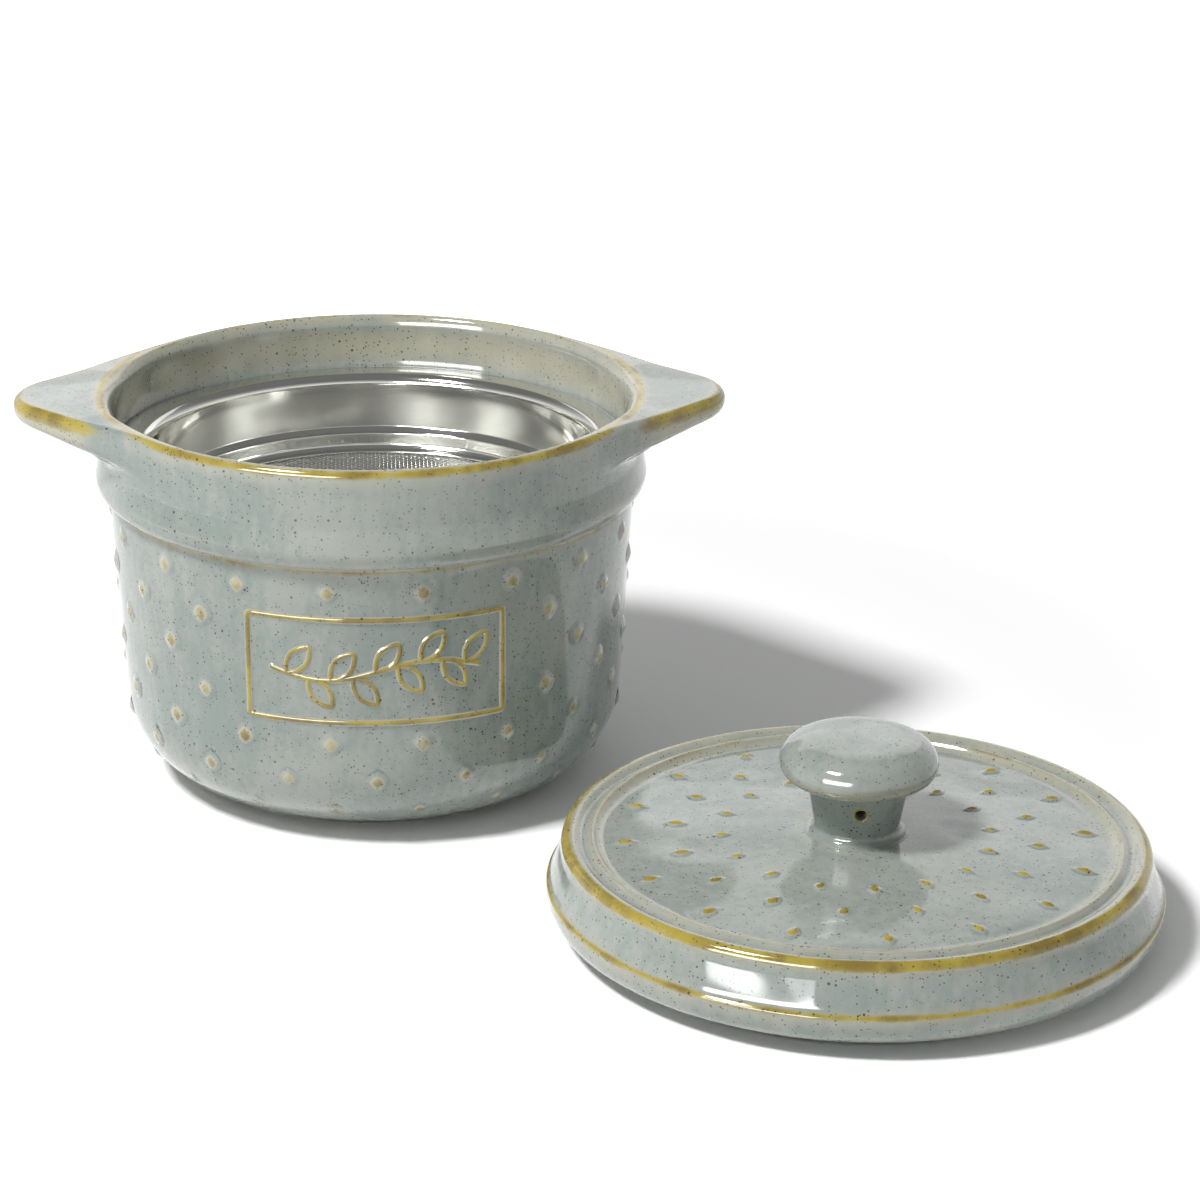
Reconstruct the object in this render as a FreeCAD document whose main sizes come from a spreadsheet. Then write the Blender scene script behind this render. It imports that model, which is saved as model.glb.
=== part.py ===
import FreeCAD, Part
import math
import os

import Sketcher
from FreeCAD import Placement, Rotation, Vector

# A glazed stoneware grease crock with a lift-out steel strainer and a knobbed lid.
# The crock stands at the origin with its two lugs along X. The lid lies beside it,
# right side up, on its locating rim. Lengths are in millimetres, +Z is up.

DRIVING = {
    # crock, outside
    "crock_height": 105.0,
    "rim_radius": 70.0,
    "lip_rounding": 2.0,
    "collar_bulge": 3.4,
    "collar_drop": 21.7,
    "crease_step": 0.2,
    "crease_drop": 26.8,
    "wall_taper": 3.0,
    "base_rounding": 23.1,
    "foot_height": 1.2,
    "foot_width": 5.0,
    # crock, inside
    "wall_thickness": 5.5,
    "floor_thickness": 6.0,
    "chamber_corner": 16.0,
    "ledge_drop": 15.4,
    "ledge_width": 4.5,
    # studs on the crock wall
    "stud_width": 5.6,
    "stud_length": 6.8,
    "stud_relief": 1.1,
    "stud_root": 0.6,
    "stud_draft": 42.0,
    "stud_drop": 6.2,
    "stud_pitch": 10.5,
    "stud_columns": 18.0,
    # raised frame on the crock wall
    "frame_angle": 57.4,
    "frame_height": 29.0,
    "frame_drop": 13.3,
    "frame_stroke": 1.3,
    "frame_relief": 0.9,
    "frame_ground": 0.2,
    # lugs
    "lug_reach": 22.3,
    "lug_tip_rounding": 17.6,
    "lug_edge_drop": 0.8,
    "lug_tip_thickness": 6.6,
    "lug_root_thickness": 10.4,
    "lug_top_rounding": 2.0,
    "lug_under_rounding": 2.6,
    "lug_spread": 33.0,
    "lug_joint": 0.1,
    # strainer
    "strainer_play": 0.7,
    "sheet": 0.7,
    "pan_bend": 3.1,
    "seat_bend": 1.8,
    "flange_width": 4.6,
    "pan_depth": 21.0,
    "pan_taper": 1.0,
    "step_drop": 14.9,
    "step_width": 1.7,
    "step_height": 1.8,
    "seat_width": 2.6,
    "screen_thickness": 0.5,
    "screen_margin": 0.5,
    "ring_height": 0.8,
    "ring_width": 2.2,
    # lid
    "lid_overhang": 6.45,
    "lid_flare": 3.65,
    "lid_height": 19.7,
    "lid_bead_height": 7.2,
    "lid_edge_rounding": 2.5,
    "lid_under_turn": 3.8,
    "lid_channel_width": 5.2,
    "lid_channel_drop": 1.3,
    "lid_ridge_width": 2.6,
    "lid_ridge_drop": 0.2,
    "panel_drop": 1.6,
    "panel_rise": 2.9,
    "plate_thickness": 5.5,
    "plate_corner": 6.0,
    "locating_depth": 3.5,
    "locating_wall": 4.0,
    "mouth_clearance": 1.2,
    # studs on the lid
    "lid_stud_length": 6.2,
    "lid_stud_width": 4.2,
    "lid_stud_relief": 1.0,
    "lid_stud_outer": 57.5,
    "lid_stud_pitch": 12.0,
    "lid_stud_count": 16.0,
    # knob
    "knob_radius": 19.3,
    "knob_height": 24.8,
    "knob_waist": 18.3,
    "knob_rounding": 6.9,
    "knob_crown_rise": 1.0,
    "neck_height": 12.8,
    "neck_taper": 1.9,
    "foot_rounding": 2.1,
    "knob_wall": 4.4,
    "vent_diameter": 3.0,
    "vent_height": 8.6,
    "knob_turn": -3.5,
    # where the lid lies
    "lid_gap": 12.6,
    "lid_bearing": -43.8,
}


# The base turns from the upright wall through this angle before it meets the foot.
BASE_ANGLE = 79.4
BASE_SINE = math.sin(math.radians(BASE_ANGLE))
BASE_COSINE = math.cos(math.radians(BASE_ANGLE))


class Size:
    """A number together with the sheet formula that gives it."""

    def __init__(self, number, formula=None):
        self.number = float(number)
        self.formula = formula or f"({self.number:.6f})"

    def __add__(self, other):
        other = as_size(other)
        return Size(self.number + other.number, f"({self.formula} + {other.formula})")

    def __sub__(self, other):
        other = as_size(other)
        return Size(self.number - other.number, f"({self.formula} - {other.formula})")

    def __mul__(self, other):
        other = as_size(other)
        return Size(self.number * other.number, f"({self.formula} * {other.formula})")

    def __truediv__(self, other):
        other = as_size(other)
        return Size(self.number / other.number, f"({self.formula} / {other.formula})")

    def __neg__(self):
        return Size(-self.number, f"(0 - {self.formula})")


def as_size(value):
    return value if isinstance(value, Size) else Size(value)


def make_sheet(document):
    """Put every driving dimension into the sheet and hand them back by name."""
    sheet = document.addObject("Spreadsheet::Sheet", "sizes")
    sizes = {}
    for row, (alias, number) in enumerate(DRIVING.items(), start=1):
        sheet.set(f"A{row}", alias.replace("_", " "))
        sheet.set(f"B{row}", str(number))
        sheet.setAlias(f"B{row}", alias)
        sizes[alias] = Size(number, f"sizes.{alias}")
    document.recompute()
    return sizes


def origin_feature(body, role):
    return next(item for item in body.Origin.OriginFeatures if item.Role == role)


class Outline:
    """A closed outline in a sketch, whose corners are placed by sizes from the origin.

    Corners are given as (across, up). An edge is a line or an arc of a set radius."""

    def __init__(self, body, name, plane="XZ_Plane"):
        self.sketch = body.newObject("Sketcher::SketchObject", name)
        self.sketch.AttachmentSupport = [(origin_feature(body, plane), "")]
        self.sketch.MapMode = "FlatFace"
        self.first = None
        self.last = None
        self.corner = None
        self.origin = None

    def at(self, offset, rotation=None):
        """Move the sketch off its plane by sizes along the plane's own axes."""
        offset = [as_size(value) for value in offset]
        base = Vector(*[value.number for value in offset])
        self.sketch.AttachmentOffset = Placement(base, rotation or Rotation())
        for axis, value in zip("xyz", offset):
            if value.number:
                self.sketch.setExpression(f"AttachmentOffset.Base.{axis}", value.formula)
        return self

    def face(self, angle):
        """Turn an upright section round the axis, so that it lies at an angle from +X."""
        self.sketch.AttachmentOffset = Placement(Vector(), Rotation(Vector(0, 1, 0), angle))
        return self

    def start(self, across, up):
        self.corner = (as_size(across), as_size(up))
        self.origin = self.corner
        return self

    def line(self, across, up):
        begin, end = self.step(across, up)
        edge = self.sketch.addGeometry(Part.LineSegment(begin, end), False)
        self.join(edge, 1, 2)
        return self

    def arc(self, across, up, radius, turn):
        """An arc of a set radius. It turns left for 1 and right for -1."""
        begin, end = self.step(across, up)
        radius = as_size(radius)
        chord = end - begin
        inward = Vector(-chord.y, chord.x, 0).normalize() * turn
        reach = math.sqrt(max(radius.number ** 2 - (chord.Length / 2) ** 2, 0))
        centre = (begin + end) * 0.5 + inward * reach
        low, high = (begin, end) if turn > 0 else (end, begin)
        angles = [math.atan2(point.y - centre.y, point.x - centre.x) for point in (low, high)]
        circle = Part.Circle(centre, Vector(0, 0, 1), radius.number)
        edge = self.sketch.addGeometry(Part.ArcOfCircle(circle, *angles), False)
        self.join(edge, 1 if turn > 0 else 2, 2 if turn > 0 else 1)
        self.drive("Radius", (edge,), radius)
        return self

    def rounding(self, centre, radii, begin, end, chords):
        """A round or oval corner in a few straight chords, which keeps the facets few."""
        for step in range(chords + 1):
            angle = math.radians(begin + (end - begin) * step / chords)
            across = centre[0] + radii[0] * math.cos(angle)
            up = centre[1] + radii[1] * math.sin(angle)
            here = math.hypot(across.number - self.corner[0].number,
                              up.number - self.corner[1].number) < 1e-6
            if not here:
                self.line(across, up)
        return self

    def close(self):
        """Draw the last edge back to the first corner and join the two."""
        self.line(*self.origin)
        self.constrain("Coincident", *self.last, *self.first)
        return self.sketch

    def step(self, across, up):
        begin = Vector(self.corner[0].number, self.corner[1].number, 0)
        self.corner = (as_size(across), as_size(up))
        return begin, Vector(self.corner[0].number, self.corner[1].number, 0)

    def join(self, edge, near, far):
        """Tie an edge to the one before it and place its far end."""
        if self.first is None:
            self.first = (edge, near)
        else:
            self.constrain("Coincident", *self.last, edge, near)
        self.place(edge, far, *self.corner)
        self.last = (edge, far)

    def place(self, edge, end, across, up):
        for kind, axis, value in (("DistanceX", -2, across), ("DistanceY", -1, up)):
            if abs(value.number) < 1e-9:
                self.constrain("PointOnObject", edge, end, axis)
            elif value.number > 0:
                self.drive(kind, (-1, 1, edge, end), value)
            else:
                self.drive(kind, (edge, end, -1, 1), -value)

    def drive(self, kind, ends, value):
        rule = self.constrain(kind, *ends, value.number)
        self.sketch.setExpression(f"Constraints[{rule}]", value.formula)

    def constrain(self, kind, *values):
        return self.sketch.addConstraint(Sketcher.Constraint(kind, *values))


def make_body(document, name):
    body = document.addObject("PartDesign::Body", name)
    body.Label = name
    return body


def turned(body, sketch, name, angle=360.0, cut=False):
    """Sweep a section round the body's upright axis, or cut with it."""
    kind = "PartDesign::Groove" if cut else "PartDesign::Revolution"
    feature = body.newObject(kind, name)
    feature.Profile = sketch
    feature.ReferenceAxis = (origin_feature(body, "Z_Axis"), [""])
    feature.Angle = as_size(angle).number
    feature.Midplane = feature.Angle.Value < 360
    sketch.Visibility = False
    return feature


def padded(body, sketch, name, length, draft=None, both=False):
    """Raise a sketch along its normal, with drafted sides where a draft is given."""
    feature = body.newObject("PartDesign::Pad", name)
    feature.Profile = sketch
    feature.setExpression("Length", length.formula)
    if draft is not None:
        feature.setExpression("TaperAngle", (-draft).formula)
    if both:
        feature.SideType = "Symmetric"
    return feature


def ringed(body, feature, name, count, span=360.0):
    """Repeat a feature round the body's upright axis."""
    pattern = body.newObject("PartDesign::PolarPattern", name)
    pattern.Originals = [feature]
    pattern.Axis = (origin_feature(body, "Z_Axis"), [""])
    pattern.Angle = span
    pattern.Occurrences = count
    body.Tip = pattern
    return pattern


def diamond(body, name, plane, width, length, offset, rotation):
    """A stud's outline: a diamond round its own centre."""
    outline = Outline(body, name, plane).at(offset, rotation)
    outline.start(-(width / 2), 0)
    outline.line(0, -(length / 2))
    outline.line(width / 2, 0)
    outline.line(0, length / 2)
    return outline.close()


def crock_levels(size):
    """The heights and radii of the crock that other pieces take their places from."""
    level = {}
    level["collar"] = size["crock_height"] - size["collar_drop"]
    level["crease"] = size["crock_height"] - size["crease_drop"]
    level["ledge"] = size["crock_height"] - size["ledge_drop"]
    level["collar_radius"] = size["rim_radius"] + size["collar_bulge"]
    level["crease_radius"] = size["rim_radius"] - size["crease_step"]
    level["wall_low_radius"] = level["crease_radius"] - size["wall_taper"]
    level["mouth_radius"] = size["rim_radius"] - size["lip_rounding"]
    level["ledge_radius"] = level["mouth_radius"] - size["ledge_width"]
    level["base_radius"] = level["wall_low_radius"] - size["base_rounding"]
    level["base_centre"] = size["foot_height"] + size["base_rounding"] * BASE_SINE
    level["foot_radius"] = level["base_radius"] + size["base_rounding"] * BASE_COSINE
    return level


def wall_radius(size, level, height):
    """The outer radius of the tapered wall at a height between base and crease."""
    rise = (height - level["base_centre"]) / (level["crease"] - level["base_centre"])
    return level["wall_low_radius"] + size["wall_taper"] * rise


def outer_side(outline, size, level, grow):
    """Follow the rim and collar outside from the crest down to the collar's widest ring."""
    lip = size["lip_rounding"] + grow
    outline.rounding((size["rim_radius"], size["crock_height"] - size["lip_rounding"]),
                     (lip, lip), 90, 0, 2)
    outline.line(level["collar_radius"] + grow, level["collar"])


def make_crock(document, size, level):
    body = make_body(document, "crock")
    seam = 90.0 / size["stud_columns"].number
    outline = Outline(body, "crock_section").face(seam)
    lip = size["lip_rounding"]
    lip_side = size["crock_height"] - lip
    floor = size["foot_height"] + size["floor_thickness"]
    chamber_low = level["wall_low_radius"] - size["wall_thickness"]
    chamber_corner = size["chamber_corner"]
    foot_inner = level["foot_radius"] - size["foot_width"]

    outline.start(level["mouth_radius"], level["ledge"])
    outline.rounding((size["rim_radius"], lip_side), (lip, lip), 180, 90, 2)
    outer_side(outline, size, level, Size(0))
    outline.rounding((level["crease_radius"], level["collar"]),
                     (level["collar_radius"] - level["crease_radius"],
                      level["collar"] - level["crease"]), 0, -90, 3)
    outline.rounding((level["base_radius"], level["base_centre"]),
                     (size["base_rounding"], size["base_rounding"]), 0, -BASE_ANGLE, 5)
    outline.line(level["foot_radius"] - size["foot_height"] / 2, 0)
    outline.line(foot_inner + size["foot_height"] / 2, 0)
    outline.line(foot_inner, size["foot_height"])
    outline.line(0, size["foot_height"])
    outline.line(0, floor)
    outline.rounding((chamber_low - chamber_corner, floor + chamber_corner),
                     (chamber_corner, chamber_corner), -90, 0, 3)
    outline.line(level["ledge_radius"], level["ledge"])
    turned(body, outline.close(), "crock_turned")

    add_wall_studs(body, size, level)
    add_frame(body, size, level)
    return body


def add_wall_studs(body, size, level):
    """Rows of studs, each row half a pitch round from the last, left out at the frame."""
    columns = round(size["stud_columns"].number)
    pitch = 360.0 / columns
    top_row = level["crease"] - size["stud_drop"]
    lowest = level["base_centre"].number - size["stud_length"].number
    rows = int((top_row.number - lowest) / size["stud_pitch"].number) + 1
    frame_top = level["crease"].number - size["frame_drop"].number
    frame_low = frame_top - size["frame_height"].number
    reach = size["stud_length"].number / 2
    for row in range(rows):
        height = top_row - size["stud_pitch"] * row
        radius = wall_radius(size, level, height)
        crosses = frame_low - reach < height.number < frame_top + reach
        turns = [pitch * (column + (1 - row % 2) / 2) for column in range(columns)]
        if crosses:
            clear = size["frame_angle"].number / 2 + math.degrees(
                (size["stud_width"].number / 2) / radius.number)
            turns = [turn for turn in turns if clear < turn < 360 - clear]
        first = turns[0]
        sideways = math.sin(math.radians(first))
        forward = math.cos(math.radians(first))
        depth = radius - size["stud_root"]
        sketch = diamond(body, f"stud_outline_{row}", "XZ_Plane", size["stud_width"],
                         size["stud_length"], (depth * sideways, height, depth * forward),
                         Rotation(Vector(0, 1, 0), first))
        stud = padded(body, sketch, f"stud_{row}", size["stud_root"] + size["stud_relief"],
                      size["stud_draft"])
        span = 360.0 if not crosses else turns[-1] - first
        ringed(body, stud, f"stud_row_{row}", len(turns), span)


def add_frame(body, size, level):
    """The raised rectangle on the front of the wall, with its ground cut back inside it."""
    top = level["crease"] - size["frame_drop"]
    low = top - size["frame_height"]
    stroke = size["frame_stroke"]
    side = math.degrees(stroke.number / wall_radius(size, level, low).number)
    angle = size["frame_angle"].number
    outer = wall_patch(body, size, level, "frame", low, top, -size["stud_root"],
                       size["frame_relief"])
    turned(body, outer, "frame_raised", angle)
    inner = wall_patch(body, size, level, "frame_ground", low + stroke, top - stroke,
                       size["frame_ground"], size["frame_relief"] + 1)
    turned(body, inner, "frame_cut_back", angle - side * 2, cut=True)


def wall_patch(body, size, level, name, low, high, inside, outside):
    """A section of the front wall between two heights, from one relief to another."""
    outline = Outline(body, f"{name}_section").face(-90)
    low_wall = wall_radius(size, level, low)
    high_wall = wall_radius(size, level, high)
    outline.start(low_wall + inside, low)
    outline.line(low_wall + outside, low)
    outline.line(high_wall + outside, high)
    outline.line(high_wall + inside, high)
    return outline.close()


def make_lug(document, size, level, name, turn):
    """An ear between two tangents to the rim, rounded at its tip and thinner there."""
    body = make_body(document, name)
    tip = level["collar_radius"] + size["lug_reach"] - size["lug_edge_drop"]
    centre = tip - size["lug_tip_rounding"]
    slant = size["lug_tip_rounding"] * math.sqrt(0.5)
    top = size["crock_height"] - size["lug_edge_drop"]
    spread = math.tan(math.radians(size["lug_spread"].number))
    corner = (centre + slant * 2) / (1 + spread)
    inner = size["rim_radius"] * 0.7
    gradient = (size["lug_root_thickness"] - size["lug_tip_thickness"]) / size["lug_reach"]
    depth = size["lug_root_thickness"] + gradient * (level["collar_radius"] - inner + 1)

    outline = Outline(body, "lug_plan", "XY_Plane").at((0, 0, top))
    outline.start(inner, -(inner * spread))
    outline.line(corner, -(corner * spread))
    outline.line(centre + slant, -slant)
    outline.arc(centre + slant, slant, size["lug_tip_rounding"], 1)
    outline.line(corner, corner * spread)
    outline.line(inner, inner * spread)
    blank = padded(body, outline.close(), "lug_blank", depth)
    blank.Reversed = True

    slope = Outline(body, "lug_underside")
    beyond = tip + 1
    slope.start(inner - 1, top - depth - 1)
    slope.line(beyond, top - depth - 1)
    slope.line(beyond, top - size["lug_tip_thickness"])
    slope.line(inner - 1, top - depth)
    cut = body.newObject("PartDesign::Pocket", "lug_slope")
    cut.Profile = slope.close()
    cut.SideType = "Symmetric"
    cut.setExpression("Length", (tip * 2).formula)
    document.recompute()

    outside = level["collar_radius"].number
    under = top.number - size["lug_tip_thickness"].number / 2
    round_edges(body, cut, "lug_under_round", size["lug_under_rounding"], outside, 0.0, under)
    document.recompute()
    round_edges(body, body.Tip, "lug_top_round", size["lug_top_rounding"], outside,
                top.number - 0.01, top.number + 0.01)

    joint = Outline(body, "lug_joint_section")
    joint.start(0, level["crease"])
    joint.line(0, size["crock_height"] + 5)
    joint.line(size["rim_radius"], size["crock_height"] + 5)
    joint.line(size["rim_radius"], size["crock_height"] + size["lug_joint"])
    outer_side(joint, size, level, size["lug_joint"])
    joint.line(level["collar_radius"] + size["lug_joint"], level["crease"])
    turned(body, joint.close(), "lug_joint_cut", cut=True)
    body.Placement = Placement(Vector(), Rotation(Vector(0, 0, 1), turn))
    return body


def round_edges(body, base, name, radius, outside, low, high):
    """Round the level edges that lie beyond a radius and between two heights."""
    edges = []
    for number, edge in enumerate(base.Shape.Edges, start=1):
        middle = edge.valueAt((edge.FirstParameter + edge.LastParameter) / 2)
        along = edge.Vertexes[-1].Point - edge.Vertexes[0].Point
        level_edge = math.hypot(along.x, along.y) > 1
        if level_edge and math.hypot(middle.x, middle.y) > outside and low < middle.z < high:
            edges.append(f"Edge{number}")
    fillet = body.newObject("PartDesign::Fillet", name)
    fillet.Base = (base, edges)
    fillet.setExpression("Radius", radius.formula)
    body.Tip = fillet


def strainer_levels(size, level):
    """The strainer takes its places from the ledge it hangs on."""
    pan = {}
    pan["flange_radius"] = level["mouth_radius"] - size["strainer_play"]
    pan["top"] = level["ledge"] + size["sheet"]
    pan["bend_radius"] = pan["flange_radius"] - size["flange_width"]
    pan["wall_radius"] = pan["bend_radius"] - size["pan_bend"]
    pan["step"] = pan["top"] - size["step_drop"]
    pan["step_radius"] = pan["wall_radius"] - size["pan_taper"]
    pan["low_radius"] = pan["step_radius"] - size["step_width"]
    pan["floor"] = pan["top"] - size["pan_depth"]
    pan["opening_radius"] = pan["low_radius"] - size["seat_width"]
    return pan


def make_strainer_pan(document, size, pan):
    """A drawn steel pan: flat flange, rolled bend, tapered wall, step, turned-in seat."""
    body = make_body(document, "strainer_pan")
    sheet = size["sheet"]
    bend = size["pan_bend"]
    bend_centre = (pan["bend_radius"], pan["top"] - bend)
    seat_bend = size["seat_bend"]
    seat_centre = (pan["low_radius"] - seat_bend, pan["floor"] + seat_bend)
    step_low = pan["step"] - size["step_height"]
    outline = Outline(body, "pan_section")
    outline.start(pan["flange_radius"], pan["top"] - sheet)
    outline.line(pan["flange_radius"], pan["top"])
    outline.rounding(bend_centre, (bend, bend), 90, 180, 2)
    outline.line(pan["step_radius"], pan["step"])
    outline.line(pan["low_radius"], step_low)
    outline.rounding(seat_centre, (seat_bend, seat_bend), 0, -90, 1)
    outline.line(pan["opening_radius"], pan["floor"])
    outline.line(pan["opening_radius"], pan["floor"] - sheet)
    outer_bend = seat_bend + sheet
    outline.rounding(seat_centre, (outer_bend, outer_bend), -90, 0, 1)
    outline.line(pan["low_radius"] + sheet, step_low - sheet / 2)
    outline.line(pan["step_radius"] + sheet, pan["step"] - sheet / 2)
    outline.rounding(bend_centre, (bend - sheet, bend - sheet), 180, 90, 2)
    turned(body, outline.close(), "pan_turned")
    return body


def make_disc(document, name, outer, inner, low, high):
    """A flat disc, or a flat ring where an inner radius is given."""
    body = make_body(document, name)
    outline = Outline(body, f"{name}_section")
    outline.start(inner, low)
    outline.line(outer, low)
    outline.line(outer, high)
    outline.line(inner, high)
    turned(body, outline.close(), f"{name}_turned")
    return body


def make_screen_parts(document, size, pan):
    """The woven screen lies under the pan's seat and is held there by a flat ring."""
    seat = pan["floor"] - size["sheet"]
    screen_low = seat - size["screen_thickness"]
    outer = pan["low_radius"] - size["screen_margin"]
    screen = make_disc(document, "mesh_screen", outer, Size(0), screen_low, seat)
    ring = make_disc(document, "mesh_ring", outer, outer - size["ring_width"],
                     screen_low - size["ring_height"], screen_low)
    return [screen, ring]


def lid_levels(size, level):
    """The lid takes its radii from the rim and its heights from the plane it seats on."""
    lid = {}
    lid["seat"] = size["locating_depth"]
    lid["skirt_radius"] = size["rim_radius"] + size["lid_overhang"]
    lid["edge_radius"] = lid["skirt_radius"] - size["lid_flare"]
    lid["top"] = lid["seat"] + size["lid_height"]
    lid["panel_radius"] = (lid["edge_radius"] - size["lid_edge_rounding"]
                           - size["lid_channel_width"] - size["lid_ridge_width"])
    lid["panel_edge"] = lid["top"] - size["panel_drop"]
    lid["knob_seat"] = lid["panel_edge"] + size["panel_rise"]
    lid["neck_radius"] = size["knob_radius"] - size["knob_rounding"] - size["neck_taper"]
    lid["knob_foot_radius"] = lid["neck_radius"] + size["foot_rounding"]
    lid["locating_radius"] = level["mouth_radius"] - size["mouth_clearance"]
    return lid


def panel_height(size, lid, radius):
    """The height of the panel, which falls away from the knob as a shallow cone."""
    reach = (radius - lid["knob_foot_radius"]) / (lid["panel_radius"] - lid["knob_foot_radius"])
    return lid["knob_seat"] - size["panel_rise"] * reach


def make_lid(document, size, lid, place):
    body = make_body(document, "lid")
    seam = 90.0 / size["lid_stud_count"].number
    outline = Outline(body, "lid_section").face(seam)
    hollow_radius = lid["locating_radius"] - size["locating_wall"]
    edge = size["lid_edge_rounding"]
    crest = lid["edge_radius"] - edge
    channel = lid["top"] - size["lid_channel_drop"]
    ridge = crest - size["lid_channel_width"]
    ridge_top = lid["top"] - size["lid_ridge_drop"]
    under = lid["panel_edge"] - size["plate_thickness"]
    turn = size["lid_under_turn"]
    bead = lid["seat"] + size["lid_bead_height"]

    outline.start(0, lid["knob_seat"] - size["plate_thickness"])
    outline.line(hollow_radius - size["plate_corner"], under)
    outline.line(hollow_radius, under - size["plate_corner"])
    outline.line(hollow_radius, 0)
    outline.line(lid["locating_radius"], 0)
    outline.line(lid["locating_radius"], lid["seat"])
    outline.rounding((lid["skirt_radius"] - turn, bead), (turn, size["lid_bead_height"]),
                     -90, 0, 3)
    outline.line(lid["edge_radius"] + size["lid_flare"] * 0.3, bead + (lid["top"] - bead) * 0.4)
    outline.rounding((crest, lid["top"] - edge), (edge, edge), 0, 90, 2)
    outline.line(crest - size["lid_channel_width"] / 2, channel)
    outline.line(ridge, ridge_top)
    outline.line(ridge - size["lid_ridge_width"] / 2, ridge_top)
    outline.line(lid["panel_radius"], lid["panel_edge"])
    outline.line(lid["knob_foot_radius"], lid["knob_seat"])
    outline.line(0, lid["knob_seat"])
    turned(body, outline.close(), "lid_turned")

    add_lid_studs(body, size, lid)
    put(body, place, Size(0), 0.0)
    return body


def add_lid_studs(body, size, lid):
    """Three rings of studs that point at the knob, each ring half a pitch from the last."""
    count = round(size["lid_stud_count"].number)
    for ring in range(3):
        radius = size["lid_stud_outer"] - size["lid_stud_pitch"] * ring
        scale = 1.0 - 0.1 * ring
        turn = 180.0 / count * (ring % 2)
        low = panel_height(size, lid, radius) - size["stud_root"]
        across = math.cos(math.radians(turn))
        along = math.sin(math.radians(turn))
        sketch = diamond(body, f"lid_stud_outline_{ring}", "XY_Plane",
                         size["lid_stud_length"] * scale, size["lid_stud_width"] * scale,
                         (radius * across, radius * along, low),
                         Rotation(Vector(0, 0, 1), turn))
        stud = padded(body, sketch, f"lid_stud_{ring}",
                      size["stud_root"] + size["lid_stud_relief"] * scale, size["stud_draft"])
        ringed(body, stud, f"lid_stud_ring_{ring}", count)


def make_knob(document, size, lid, place):
    """A hollow mushroom knob, luted on the lid, with a vent hole through its neck."""
    body = make_body(document, "knob")
    wall = size["knob_wall"]
    belly = size["knob_radius"] - size["knob_rounding"]
    waist = size["knob_waist"]
    under = waist - size["neck_height"]
    crown = size["knob_height"] - size["knob_crown_rise"] - waist
    foot = size["foot_rounding"]
    hollow = lid["neck_radius"] - wall
    hollow_top = size["knob_height"] - size["knob_crown_rise"] - wall
    outline = Outline(body, "knob_section")
    outline.start(hollow, 0)
    outline.line(lid["knob_foot_radius"], 0)
    outline.rounding((lid["knob_foot_radius"], foot), (foot, foot), -90, -180, 2)
    outline.rounding((belly, waist), (size["knob_rounding"], under), -90, 0, 4)
    outline.rounding((belly, waist), (size["knob_rounding"], crown), 0, 90, 3)
    outline.line(0, size["knob_height"])
    outline.line(0, hollow_top)
    outline.line(hollow, hollow_top)
    turned(body, outline.close(), "knob_turned")

    radius = size["vent_diameter"] / 2
    vent = Outline(body, "vent_outline").at((0, size["vent_height"], 0))
    vent.sketch.addGeometry(Part.Circle(Vector(), Vector(0, 0, 1), radius.number), False)
    vent.constrain("Coincident", 0, 3, -1, 1)
    vent.drive("Radius", (0,), radius)
    bore = body.newObject("PartDesign::Pocket", "vent")
    bore.Profile = vent.sketch
    bore.setExpression("Length", size["knob_radius"].formula)
    bore.Reversed = True
    put(body, place, lid["knob_seat"], size["knob_turn"].number)
    return body


def lid_place(size, level, lid):
    """The lid lies clear of the crock by a gap, on a bearing from the lug axis."""
    bearing = math.radians(size["lid_bearing"].number)
    distance = level["collar_radius"] + lid["skirt_radius"] + size["lid_gap"]
    return distance * math.cos(bearing), distance * math.sin(bearing)


def put(body, place, height, turn):
    across, along = place
    base = Vector(across.number, along.number, height.number)
    body.Placement = Placement(base, Rotation(Vector(0, 0, 1), turn))
    body.setExpression("Placement.Base.x", across.formula)
    body.setExpression("Placement.Base.y", along.formula)
    body.setExpression("Placement.Base.z", height.formula)


def check(document, bodies):
    """Stop if any object failed or any finished piece isn't one sound solid."""
    for item in document.Objects:
        if "Invalid" in item.State or "Error" in item.State:
            raise RuntimeError(f"{item.Name} failed: {item.State}")
    for body in bodies:
        shape = body.Shape
        if shape.isNull() or not shape.isValid() or len(shape.Solids) != 1:
            raise RuntimeError(f"{body.Label} isn't one sound solid")


def main():
    document = FreeCAD.newDocument("grease_crock")
    size = make_sheet(document)
    level = crock_levels(size)
    pan = strainer_levels(size, level)
    lid = lid_levels(size, level)
    place = lid_place(size, level, lid)

    bodies = [make_crock(document, size, level)]
    bodies.append(make_lug(document, size, level, "right_lug", 0.0))
    bodies.append(make_lug(document, size, level, "left_lug", 180.0))
    bodies.append(make_strainer_pan(document, size, pan))
    bodies += make_screen_parts(document, size, pan)
    bodies.append(make_lid(document, size, lid, place))
    bodies.append(make_knob(document, size, lid, place))
    document.recompute()
    check(document, bodies)

    os.makedirs("parts", exist_ok=True)
    for body in bodies:
        body.Shape.exportStep(f"parts/{body.Label}.step")
        print(f"{body.Label}: {body.Shape.Volume / 1000:.2f} cm3, {len(body.Shape.Faces)} faces")


main()
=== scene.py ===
# %% [markdown]
# # A studded stoneware crock with its strainer and lid
#
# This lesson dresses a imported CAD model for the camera. The CAD gives the frame: where each
# piece is, what moves, and how large it is. Here the clay pieces get soft, glazed surfaces,
# the strainer gets rolled steel edges and a woven floor, and the light of a small studio is
# set up round them. The pieces are drawn in millimetres. The scene, its floor and its lamps
# are in metres.

import math

import bpy
import numpy as np
from mathutils import Matrix, Vector


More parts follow.
